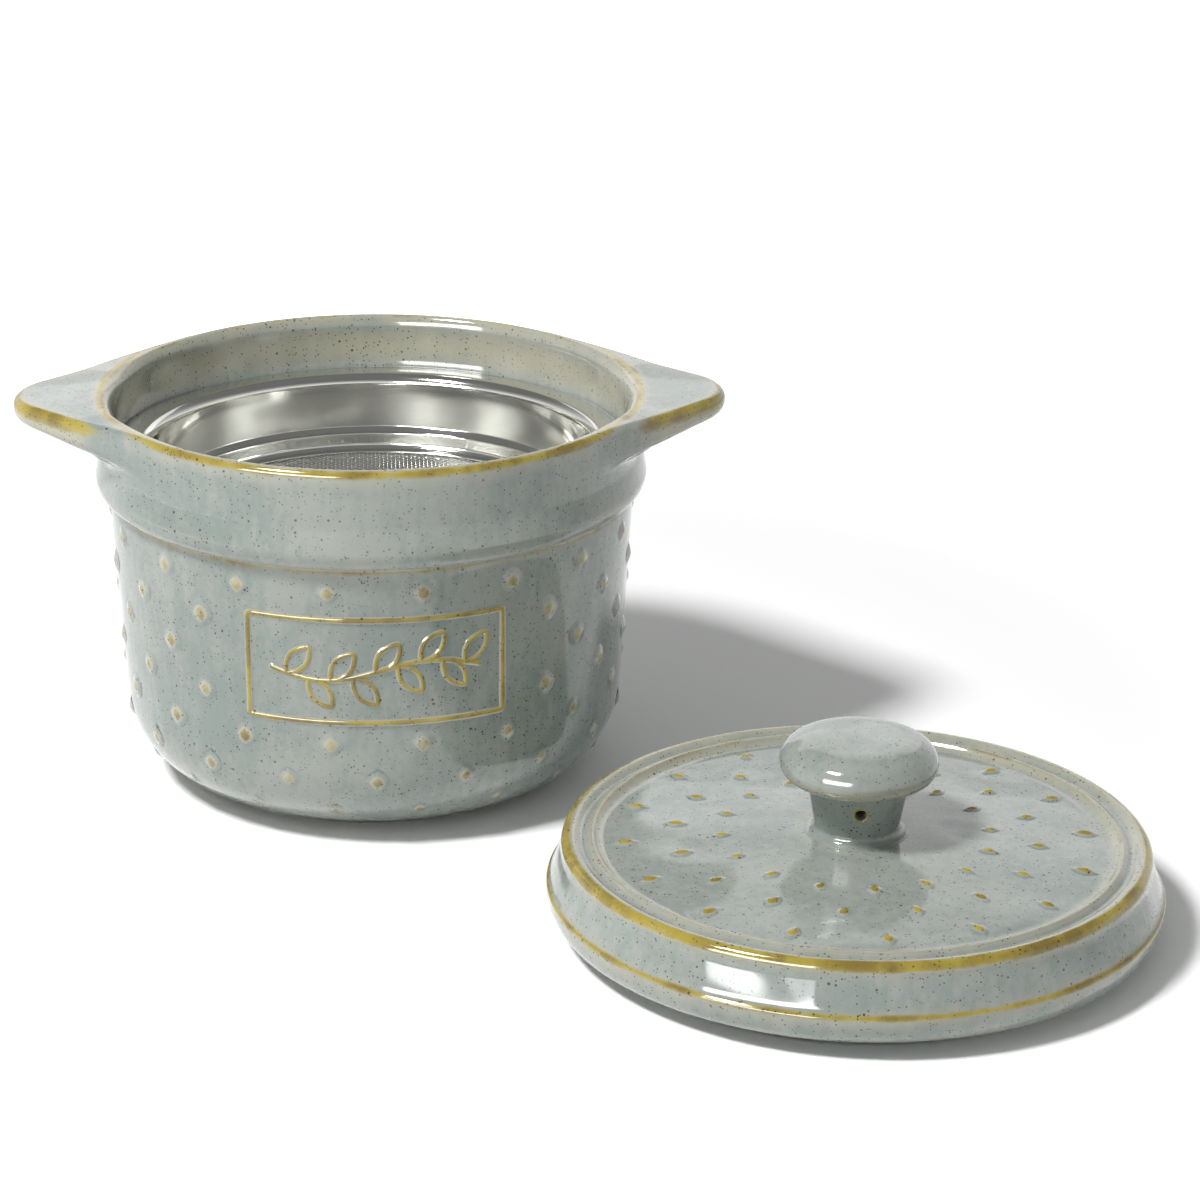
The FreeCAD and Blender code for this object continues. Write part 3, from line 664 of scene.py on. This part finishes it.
def outward_place(bearing, radius, height, lean):
    """A place on the wall: local Z points out of the wall and local Y points up."""
    out = Vector((math.cos(bearing), math.sin(bearing), lean)).normalized()
    side = Vector((-math.sin(bearing), math.cos(bearing), 0))
    matrix = Matrix((side, out.cross(side), out)).transposed().to_4x4()
    matrix.translation = Vector((radius * math.cos(bearing), radius * math.sin(bearing), height))
    return matrix


def crock_place(bearing, height):
    """A place on the wall, or for the lowest rows on the rounded base."""
    if height > WALL_LOW[1]:
        return outward_place(bearing, wall_radius(height), height, -WALL_LEAN)
    angle = math.asin((BASE_CENTRE[1] - height) / BASE_ROUNDING)
    radius = BASE_CENTRE[0] + BASE_ROUNDING * math.cos(angle)
    return outward_place(bearing, radius, height, -math.tan(angle))


pitch = 360 / STUDS_IN_ROW
crock_places = []
for row, (height, size) in enumerate(zip(ROW_HEIGHTS, ROW_SIZES)):
    for column in range(STUDS_IN_ROW):
        bearing = math.radians(pitch * column + (0 if row % 2 == 0 else pitch / 2))
        from_front = abs((math.degrees(bearing) - FRONT + 180) % 360 - 180)
        if PANEL_LOW < height < PANEL_HIGH and from_front < PANEL_SPREAD:
            continue
        crock_places.append((crock_place(bearing, height), size))
crock_settings = {"Width": 7.6 * MM, "Length": 8.2 * MM, "Relief": 0.95 * MM, "Sink": 0.04 * MM,
                  "Wear": 0.18, "Ochre": 0.62, "Seed": 7, "Material": crock_glaze}
run_tree("crock_studs", STUD_TREE, crock_settings, places_mesh("crock_places", crock_places),
         "crock")
print("crock studs:", len(crock_places))

# %% [markdown]
# ## The raised frame and its sprig
#
# The frame on the real crock is a raised line in the clay. Such lines could be curves with a
# round section, but a strip that follows the wall has no hidden half and can carry the glaze's
# numbers. Its section is a soft ridge, and the glaze breaks to ochre along the top. The panel
# holds a plain leafy sprig.

# %% Raised lines on the front
MIDDLE = 50.6
HALF_WIDTH, HALF_HEIGHT, CORNER = 33.6, 14.2, 0.8
LEAF_LENGTH, LEAF_WIDTH, LEAF_LEAN = 9.6, 4.8, 52


def on_wall(across, height, lift):
    """A point on the front wall, from its distance across the front and its height."""
    radius = wall_radius(height)
    angle = across / radius - math.pi / 2
    return ((radius + lift) * math.cos(angle), (radius + lift) * math.sin(angle), height)


def resampled(path, step, closed):
    """The path with points a set step apart."""
    path = np.array(path, float)
    if closed:
        path = np.vstack([path, path[:1]])
    lengths = np.concatenate([[0], np.cumsum(np.hypot(*np.diff(path, axis=0).T))])
    count = max(int(lengths[-1] / step), 4)
    wanted = np.linspace(0, lengths[-1], count + 1)
    points = np.stack([np.interp(wanted, lengths, path[:, axis]) for axis in (0, 1)], axis=1)
    return points[:-1] if closed else points


def raised_line(path, width, relief, closed=False):
    """Grid points and edge numbers of one ridge along a path given in (across, height)."""
    path = resampled(path, 0.5, closed)
    if closed:
        ahead = np.roll(path, -1, axis=0) - np.roll(path, 1, axis=0)
    else:
        ahead = np.gradient(path, axis=0)
    ahead /= np.hypot(*ahead.T)[:, None] + 1e-9
    side = np.stack([-ahead[:, 1], ahead[:, 0]], axis=1)
    shares = np.linspace(-1, 1, 9)
    ridge = np.cos(shares * math.pi / 2) ** 1.2
    rows, numbers = [], []
    for index, (spot, away) in enumerate(zip(path, side)):
        end = 1.0 if closed else float(soft_step(-0.5, 2.5, min(index, len(path) - 1 - index)))
        for share, high in zip(shares, ridge):
            place = spot + away * share * width * 0.62
            rows.append(on_wall(place[0], place[1], high * relief * end - 0.06))
            numbers.append(high * end)
    return rows, grid_faces(len(path), len(shares), loop=closed), numbers


def leaf(stem, length, width, lean):
    """The outline of an almond leaf that grows from a point on the stem."""
    shares = np.linspace(0, 1, 13)
    bow = np.sin(shares * math.pi) ** 0.8 * width / 2
    up_side = np.stack([shares * length, bow], axis=1)
    low_side = np.stack([shares * length, -bow], axis=1)[::-1]
    outline = np.vstack([up_side, low_side[1:-1]])
    turn = np.array([[math.cos(lean), math.sin(lean)], [-math.sin(lean), math.cos(lean)]])
    return outline @ turn + np.array(stem)


def on_stem(across):
    """A point on the sprig's wavy stem."""
    return (across, MIDDLE + 2.6 * math.sin(across / 8.6))


frame_path = []
for x_sign, z_sign, begin in ((1, 1, 0), (-1, 1, 90), (-1, -1, 180), (1, -1, 270)):
    centre = (x_sign * (HALF_WIDTH - CORNER), MIDDLE + z_sign * (HALF_HEIGHT - CORNER))
    frame_path += round_part(centre, (CORNER, CORNER), begin, begin + 90, 4).tolist()

stem = [on_stem(across) for across in np.linspace(-28, 28, 80)]
lines = [(frame_path, 1.8, 0.55, True), (stem, 1.7, 0.5, False)]
for number, across in enumerate(np.linspace(-23, 23, 9)):
    lean = math.radians(LEAF_LEAN if number % 2 == 0 else -LEAF_LEAN)
    lines.append((leaf(on_stem(across), LEAF_LENGTH, LEAF_WIDTH, lean), 1.5, 0.5, True))

points, faces, numbers = [], [], []
for path, width, relief, closed in lines:
    rows, quads, values = raised_line(path, width, relief, closed)
    faces += [[index + len(points) for index in quad] for quad in quads]
    points += rows
    numbers += values
numbers = np.array(numbers)
add_mesh("front_lines", np.array(points) * MM, faces, "crock", "crock_glaze", crock_glaze,
         edge=numbers * 1.05, haze=np.sqrt(numbers))
print("raised lines:", len(lines))

# %% [markdown]
# ## The lid
#
# The real lid is one turned piece: a locating rim that drops into the mouth, a shoulder that
# rests on the crock, a flared side, a channel with a bead beside it and a low dome. It could
# be modelled from a cylinder, but a turned profile keeps every step of it in one short list.
# The same tree sets its studs, in three rings.

# %% Build the lid
SEAT = 3.5
STUD_RINGS = ((56.9, 1.0), (44.6, 0.92), (33.3, 0.82))
STUDS_IN_RING = 16


def lid_profile(_):
    """The lid's section, the same on every bearing, from the middle of its underside to the top's.
    """
    under = [np.array([[0, 18.9]]), straight((0, 18.9), (12, 18.9), 3),
             straight((12, 18.9), (56.8, 16.2), 8),
             round_part((56.8, 10.2), (6, 6), 90, 0, 8),
             straight((62.8, 10.2), (62.8, 0.4), 4),
             round_part((63.2, 0.4), (0.4, 0.4), 180, 270, 3),
             straight((63.2, 0), (66.3, 0), 2),
             round_part((66.3, 0.5), (0.5, 0.5), -90, 0, 3),
             straight((66.8, 0.5), (66.8, SEAT), 3),
             straight((66.8, SEAT), (72.0, SEAT), 4)]
    over = [round_part((72.4, 6.9), (3.9, 6.8), -88, 0, 14),
            round_part((75.6, 7.0), (0.7, 0.9), 0, 75, 5),
            straight((75.35, 8.3), (72.75, 15.8), 10),
            round_part((70.3, 17.1), (2.4, 2.5), -8, 100, 14),
            np.array([(69.2, 19.35), (68.5, 18.85), (67.8, 18.45), (67.2, 18.4),
                      (66.7, 18.65), (66.3, 19.05)]),
            round_part((65.2, 18.7), (1.0, 0.85), 25, 165, 6),
            np.array([(63.7, 18.45), (63.0, 18.12), (62.2, 18.02), (61.0, 18.1)]),
            lid_dome(np.linspace(60, 13.5, 30)),
            np.array([(8, 20.95), (0, 20.95)])]
    return np.vstack(under + [part + np.array([0, SEAT]) for part in over])


def lid_dome(radii):
    """The lid's panel, as (radius, height over the seat)."""
    share = (np.asarray(radii, float) - 12.6) / (62.0 - 12.6)
    return np.stack([radii, 20.97 - 2.9 * share ** 1.35], axis=-1)


def lid_edge(profile):
    """Ochre on the top edge, the flared edge, the bead and the locating rim."""
    return near(profile, [(71.5, SEAT + 19.2, 1.5, 0.90), (72.2, SEAT + 18.3, 1.3, 0.85),
                          (75.9, SEAT + 7.6, 1.2, 0.80), (64.8, SEAT + 19.5, 1.1, 0.55),
                          (66.8, 0.3, 0.8, 0.5)])


def lid_haze(profile):
    """Beige beside the ochre, low on the side and round the knob's foot."""
    return near(profile, [(71.0, SEAT + 19.0, 4.2, 0.75), (76.0, SEAT + 7.0, 3.4, 0.6),
                          (64.4, SEAT + 19.2, 3.4, 0.7), (74.5, SEAT + 1.0, 2.5, 0.4),
                          (14, SEAT + 20.9, 3.5, 0.5)])


lid = turned_surface("lid_clay", lid_profile, 400, {"edge": lid_edge, "haze": lid_haze},
                     LID_CENTRE, "lid", "lid_glaze", lid_glaze)
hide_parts("lid")

pitch = 360 / STUDS_IN_RING
lid_places = []
for ring, (radius, size) in enumerate(STUD_RINGS):
    height = SEAT + float(lid_dome([radius])[0, 1])
    slope = float(lid_dome([radius + 1])[0, 1] - lid_dome([radius - 1])[0, 1]) / 2
    for column in range(STUDS_IN_RING):
        bearing = math.radians(pitch * column + (pitch / 2 if ring == 1 else 0))
        ahead = Vector((math.cos(bearing), math.sin(bearing), slope)).normalized()
        side = Vector((-math.sin(bearing), math.cos(bearing), 0))
        matrix = Matrix((-side, ahead, -side.cross(ahead))).transposed().to_4x4()
        spot = Vector((radius * math.cos(bearing), radius * math.sin(bearing), height))
        matrix.translation = spot + Vector(LID_CENTRE)
        lid_places.append((matrix, size))
lid_settings = {"Width": 5.2 * MM, "Length": 7.6 * MM, "Relief": 1.05 * MM, "Sink": 0.05 * MM,
                "Wear": 0.15, "Ochre": 1.1, "Seed": 3, "Material": lid_glaze}
run_tree("lid_studs", STUD_TREE, lid_settings, places_mesh("lid_places", lid_places),
         "lid")
print("lid:", len(lid.data.polygons), "faces,", len(lid_places), "studs")

# %% [markdown]
# ## The knob
#
# The real knob has a small vent through its neck. A boolean could drill it. Here a patch of
# the neck's own surface is pushed inwards instead, which keeps the mesh whole, and a number on
# its points paints shade into the hole.

# %% Build the knob
VENT_BEARING, VENT_HEIGHT, VENT_RADIUS = math.radians(-93.6), 8.7, 1.5
VENT_DEPTH, NECK_RADIUS, CAP_RADIUS = 8.0, 11.5, 14


def softened(points, rounds):
    """Cut the corners of a line of points, which leaves a smooth curve."""
    points = np.array(points, float)
    for _ in range(rounds):
        near_start = points[:-1] * 0.75 + points[1:] * 0.25
        near_end = points[:-1] * 0.25 + points[1:] * 0.75
        cut = np.stack([near_start, near_end], axis=1).reshape(-1, 2)
        points = np.vstack([points[:1], cut, points[-1:]])
    return points


def knob_outline():
    """The knob's section over its seat: the foot's curve, the neck and the cap."""
    cap = [(12.3, 12.2), (12.5, 13.1), (14.0, 13.4), (17.2, 14.5), (19.4, 16.4), (19.6, 19.6),
           (17.6, 22.8), (13.6, 24.3), (8.0, 24.6), (3.0, 24.7)]
    parts = [np.array([[0, 0.0]]), straight((0, 0.0), (12.9, -0.05), 4),
             round_part((12.9, 2.2), (2.3, 2.2), -93, -180, 8),
             straight((10.6, 2.2), (12.3, 12.2), 50),
             softened(cap, 3)[1:], np.array([[0, 24.7]])]
    return np.vstack(parts)


KNOB_OUTLINE = knob_outline()


def vent_distance(bearing, radius, height):
    """Distance round the neck from the vent's middle. The cap and the far side are far off."""
    swing = (bearing - VENT_BEARING + math.pi) % (2 * math.pi) - math.pi
    away = np.hypot(swing * NECK_RADIUS, height - VENT_HEIGHT)
    return away + 100 * (radius > CAP_RADIUS) + 50 * (abs(swing) > 1)


def knob_profile(bearing):
    """The knob's section on a bearing, pushed inwards at the vent."""
    outline = KNOB_OUTLINE.copy()
    away = vent_distance(bearing, outline[:, 0], outline[:, 1])
    outline[:, 0] -= VENT_DEPTH * (1 - soft_step(VENT_RADIUS - 0.55, VENT_RADIUS, away))
    return outline + np.array([0, KNOB_SEAT])


knob = turned_surface("knob_clay", knob_profile, 360, {
    "edge": lambda profile: near(profile, [(18.6, KNOB_SEAT + 16.0, 2.4, 0.42)]),
    "haze": lambda profile: near(profile, [(18.0, KNOB_SEAT + 15.0, 4.0, 0.85),
                                           (12.5, KNOB_SEAT + 0.5, 1.6, 0.4)])},
    LID_CENTRE, "lid", "lid_glaze", lid_glaze)
east, north, high = (np.array([vertex.co for vertex in knob.data.vertices]) / MM
                     - np.array(LID_CENTRE)).T
away = vent_distance(np.arctan2(north, east), np.hypot(east, north), high - KNOB_SEAT)
vent_rim = np.exp(-((away - VENT_RADIUS - 0.25) / 0.4) ** 2) * 0.95
edge = knob.data.attributes["edge"]
values = np.empty(len(away))
edge.data.foreach_get("value", values)
edge.data.foreach_set("value", np.maximum(values, vent_rim))
# Painted shade inside the vent: full in its middle, fading towards its rim.
vent_shade = 0.95 * (1 - soft_step(VENT_RADIUS - 0.55, VENT_RADIUS - 0.05, away))
store(knob.data, "vent_shade", vent_shade)
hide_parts("knob")
print("knob:", len(knob.data.polygons), "faces")

# %% [markdown]
# ## The strainer's pan and ring
#
# The real pan is one thin drawn sheet: a flat flange, a rolled bend, a tapered wall, a small
# step and a turned-in seat. It could be a surface with a Solidify modifier. A closed section
# gives both sides their true heights. A flat ring is taken to hold the screen from below.


# %% Build the pan
def pan_sheet():
    """The sheet's inner side from the flange to the seat, then its outer side back."""
    inner = [np.array([[67.2, 90.1]]), round_part((67.05, 90.1), (0.15, 0.2), 0, 90, 2),
             straight((67.05, FLANGE_TOP), (62.9, FLANGE_TOP), 3),
             round_part((62.9, 87.2), (3.3, 3.1), 90, 180, 14),
             straight((59.6, 87.2), (58.75, 75.9), 8),
             round_part((58.35, 75.6), (0.4, 0.5), 0, -60, 4),
             straight((58.5, 75.1), (57.35, 74.0), 3),
             round_part((57.45, 73.5), (0.55, 0.6), 120, 180, 4),
             straight((56.9, 73.5), (56.85, 71.3), 3),
             round_part((55.2, 71.3), (1.65, 1.9), 0, -90, 9),
             straight((55.2, 69.4), (54.4, 69.35), 2)]
    outer = [straight((54.4, 69.35), (54.4, 68.7), 1), straight((54.4, 68.7), (55.2, 68.65), 2),
             round_part((55.2, 71.2), (2.35, 2.55), -90, 0, 7),
             straight((57.55, 71.2), (57.6, 73.2), 2), straight((57.6, 73.2), (59.4, 74.9), 3),
             straight((59.4, 74.9), (60.3, 87.2), 5),
             round_part((62.9, 87.2), (2.6, 2.4), 180, 90, 8),
             straight((62.9, 89.62), (67.05, 89.62), 2), straight((67.05, 89.62), (67.2, 90.1), 1)]
    return np.vstack(inner + outer)


def hoop_mesh(name, section, columns, body, slot, material):
    """Turn a closed section that stays off the axis."""
    grid = turned_points(lambda bearing: section, columns)[0]
    faces = [quad[::-1] for quad in grid_faces(len(grid), columns, wrap=True, loop=True)]
    return add_mesh(name, grid.reshape(-1, 3) * MM, faces, body, slot, material)


pan = hoop_mesh("pan_sheet", pan_sheet()[:-1], 320, "strainer", "pan_steel", pan_steel)
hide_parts("strainer_pan")
RING_INNER, RING_OUTER, BEVEL = 54.2, 56.3, 0.15
ring_section = np.array([(RING_INNER, RING_LOW + BEVEL), (RING_INNER + BEVEL, RING_LOW),
                         (RING_OUTER - BEVEL, RING_LOW), (RING_OUTER, RING_LOW + BEVEL),
                         (RING_OUTER, RING_TOP - BEVEL), (RING_OUTER - BEVEL, RING_TOP),
                         (RING_INNER + BEVEL, RING_TOP), (RING_INNER, RING_TOP - BEVEL)])
ring = hoop_mesh("screen_ring", ring_section, 240, "strainer", "pan_steel", pan_steel)
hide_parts("mesh_ring")
print("pan:", len(pan.data.polygons), "faces")

# %% [markdown]
# ## The woven screen
#
# The strainer's floor is woven from round wires. A picture with holes would be lighter, but
# modelled wires catch the light and cast a shadow. The tree lays zigzag wires side by side,
# flips every other one, adds the same set turned by a right angle, trims the weave to a disc
# and gives the wires their thickness.


# %% Weave the screen
def build_weave_tree():
    """Weave a disc of wires about the axis, at a height."""
    tree, given, result = new_group(
        "weave", "GeometryNodeTree",
        {"Geometry": "Geometry", "Wires": "Int", "Pitch": "Float", "Wire Radius": "Float",
         "Disc Radius": "Float", "Height": "Float", "Material": "Material"},
        {"Geometry": "Geometry"})
    values = given.outputs
    index = node_output(tree, "GeometryNodeInputIndex")
    parity = maths(tree, "MULTIPLY_ADD", maths(tree, "MODULO", index, 2.0), 2.0, -1.0)
    half = maths(tree, "MULTIPLY", maths(tree, "MULTIPLY_ADD", values["Wires"], 0.5, -0.5),
                 maths(tree, "MULTIPLY", values["Pitch"], -1.0))

    def line_of_points(axis):
        """As many points as there are wires, a pitch apart along one axis."""
        return node_output(tree, "GeometryNodeMeshLine", {
            "Count": values["Wires"],
            "Start Location": vector_of(tree, {axis: half}),
            "Offset": vector_of(tree, {axis: values["Pitch"]})})

    wave = maths(tree, "MULTIPLY", parity, maths(tree, "MULTIPLY", values["Wire Radius"], 0.95))
    bent = node_output(tree, "GeometryNodeSetPosition", {
        "Geometry": line_of_points(0), "Offset": vector_of(tree, {2: wave})})
    flip = vector_of(tree, {0: 1.0, 1: 1.0, 2: parity})
    laid = node_output(tree, "GeometryNodeInstanceOnPoints", {
        "Points": line_of_points(1), "Instance": bent, "Scale": flip})
    warp = node_output(tree, "GeometryNodeRealizeInstances", {0: laid})
    weft = node_output(tree, "GeometryNodeTransform", {
        "Geometry": warp, "Rotation": (0.0, 0.0, math.pi / 2), "Scale": (1.0, 1.0, -1.0)})
    joined = add_node(tree, "GeometryNodeJoinGeometry")
    tree.links.new(warp, joined.inputs[0])
    tree.links.new(weft, joined.inputs[0])
    flat = node_output(tree, "ShaderNodeVectorMath", {
        0: node_output(tree, "GeometryNodeInputPosition"), 1: (1.0, 1.0, 0.0)},
        operation="MULTIPLY")
    beyond = node_output(tree, "FunctionNodeCompare",
                         {0: length_of(tree, flat), 1: values["Disc Radius"]},
                         data_type="FLOAT", operation="GREATER_THAN")
    disc = node_output(tree, "GeometryNodeDeleteGeometry",
                       {"Geometry": joined.outputs[0], "Selection": beyond}, domain="POINT")
    section = node_output(tree, "GeometryNodeCurvePrimitiveCircle",
                          {"Resolution": 4, "Radius": values["Wire Radius"]})
    tubes = node_output(tree, "GeometryNodeCurveToMesh", {
        "Curve": node_output(tree, "GeometryNodeMeshToCurve", {0: disc}),
        "Profile Curve": section, "Fill Caps": True})
    lifted = node_output(tree, "GeometryNodeTransform", {
        "Geometry": tubes, "Translation": vector_of(tree, {2: values["Height"]})})
    smooth = node_output(tree, "GeometryNodeSetShadeSmooth", {0: lifted})
    finish_tree(tree, smooth, values["Material"], result)
    return tree


weave = {"Wires": 101, "Pitch": 1.12 * MM, "Wire Radius": 0.16 * MM, "Disc Radius": 56.2 * MM,
         "Height": 68.36 * MM, "Material": mesh_steel}
screen = run_tree("woven_screen", build_weave_tree(), weave,
                  bpy.data.meshes.new("weave_source"), "strainer")
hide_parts("mesh_screen")
print("screen:", len(screen.data.polygons), "faces")

# %% [markdown]
# ## A small studio
#
# The photo has a white ground with one soft shadow. A picture of a studio could light it, but
# three lamps are easier to aim. The floor is matt white, and far from the pieces it glows
# enough to run into the background. A small strong light at the left throws the shadow. A low
# box in front shows in the lid's side, and a large dim one stands behind. The camera and the
# reflections see a white backdrop, while the sky that lights the pieces is a soft grey.


# %% Floor, sky and lights
def area_light(name, place, aim, size, power):
    """A rectangular lamp at a place, turned to its aim."""
    light = bpy.data.lights.new(name, "AREA")
    light.shape = "RECTANGLE"
    light.size, light.size_y = size
    light.energy = power
    lamp = new_object(name, light)
    lamp.location = place
    lamp.rotation_euler = (Vector(aim) - Vector(place)).to_track_quat("-Z", "Y").to_euler()
    lamp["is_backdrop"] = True
    return lamp


WHITE = (1, 1, 1, 1)
FLOOR_HEIGHT_M = -0.0004
floor_material, floor_tree, floor_shader = new_material("studio_floor")
floor_shader.inputs["Base Color"].default_value = (0.93, 0.93, 0.93, 1)
floor_shader.inputs["Roughness"].default_value = 0.9
floor_shader.inputs["Specular IOR Level"].default_value = 0.1
far = mask(floor_tree, length_of(floor_tree, object_vector(floor_tree)), 0.20, 0.50)
path = add_node(floor_tree, "ShaderNodeLightPath").outputs
seen = maths(floor_tree, "MULTIPLY_ADD", path["Is Glossy Ray"], 0.3, path["Is Camera Ray"])
glow = maths(floor_tree, "MULTIPLY", far, seen)
floor_shader.inputs["Emission Color"].default_value = WHITE
floor_tree.links.new(glow, floor_shader.inputs["Emission Strength"])
floor_mesh = bpy.data.meshes.new("studio_floor")
corners = [(x, y, FLOOR_HEIGHT_M) for x, y in ((-6, -4), (6, -4), (6, 8), (-6, 8))]
floor_mesh.from_pydata(corners, [], [(0, 1, 2, 3)])
floor_mesh.materials.append(floor_material)
new_object("studio_floor", floor_mesh)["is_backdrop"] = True

world = bpy.data.worlds.new("studio")
bpy.context.scene.world = world
world.use_nodes = True
sky = world.node_tree
sky.nodes.clear()
direction = add_node(sky, "ShaderNodeTexCoord").outputs["Generated"]
height = add_node(sky, "ShaderNodeSeparateXYZ", {0: direction}).outputs[2]
overhead = mask(sky, height, 0.10, 0.70)
room = mix_colour(sky, overhead, (0.60, 0.61, 0.60, 1), (0.27, 0.275, 0.27, 1))
backdrop = mix_colour(sky, overhead, WHITE, (0.18, 0.18, 0.18, 1))
path = add_node(sky, "ShaderNodeLightPath").outputs
reflected = mix_colour(sky, path["Is Glossy Ray"], room, backdrop)
shown = mix_colour(sky, path["Is Camera Ray"], reflected, WHITE)
sky_light = add_node(sky, "ShaderNodeBackground", {"Color": shown, "Strength": 1.0})
sky_output = add_node(sky, "ShaderNodeOutputWorld")
sky.links.new(sky_light.outputs[0], sky_output.inputs["Surface"])

area_light("key", (-0.56, -0.42, 1.12), (0.04, -0.05, 0.04), (0.22, 0.22), 18.5)
front_box = area_light("front_box", (-0.72, -1.10, 0.46), (0.10, -0.10, 0.02), (0.95, 0.40), 20.0)
front_box.visible_diffuse = False
area_light("back_box", (0.15, 1.35, 0.80), (0.08, -0.05, 0.03), (1.30, 0.60), 1.5)

# %% [markdown]
# ## Measure the size
#
# The visible pieces must stay inside the CAD's own bounds, so the bounds of the visible
# pieces are measured.

# %% Measure the visible pieces
low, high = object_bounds()
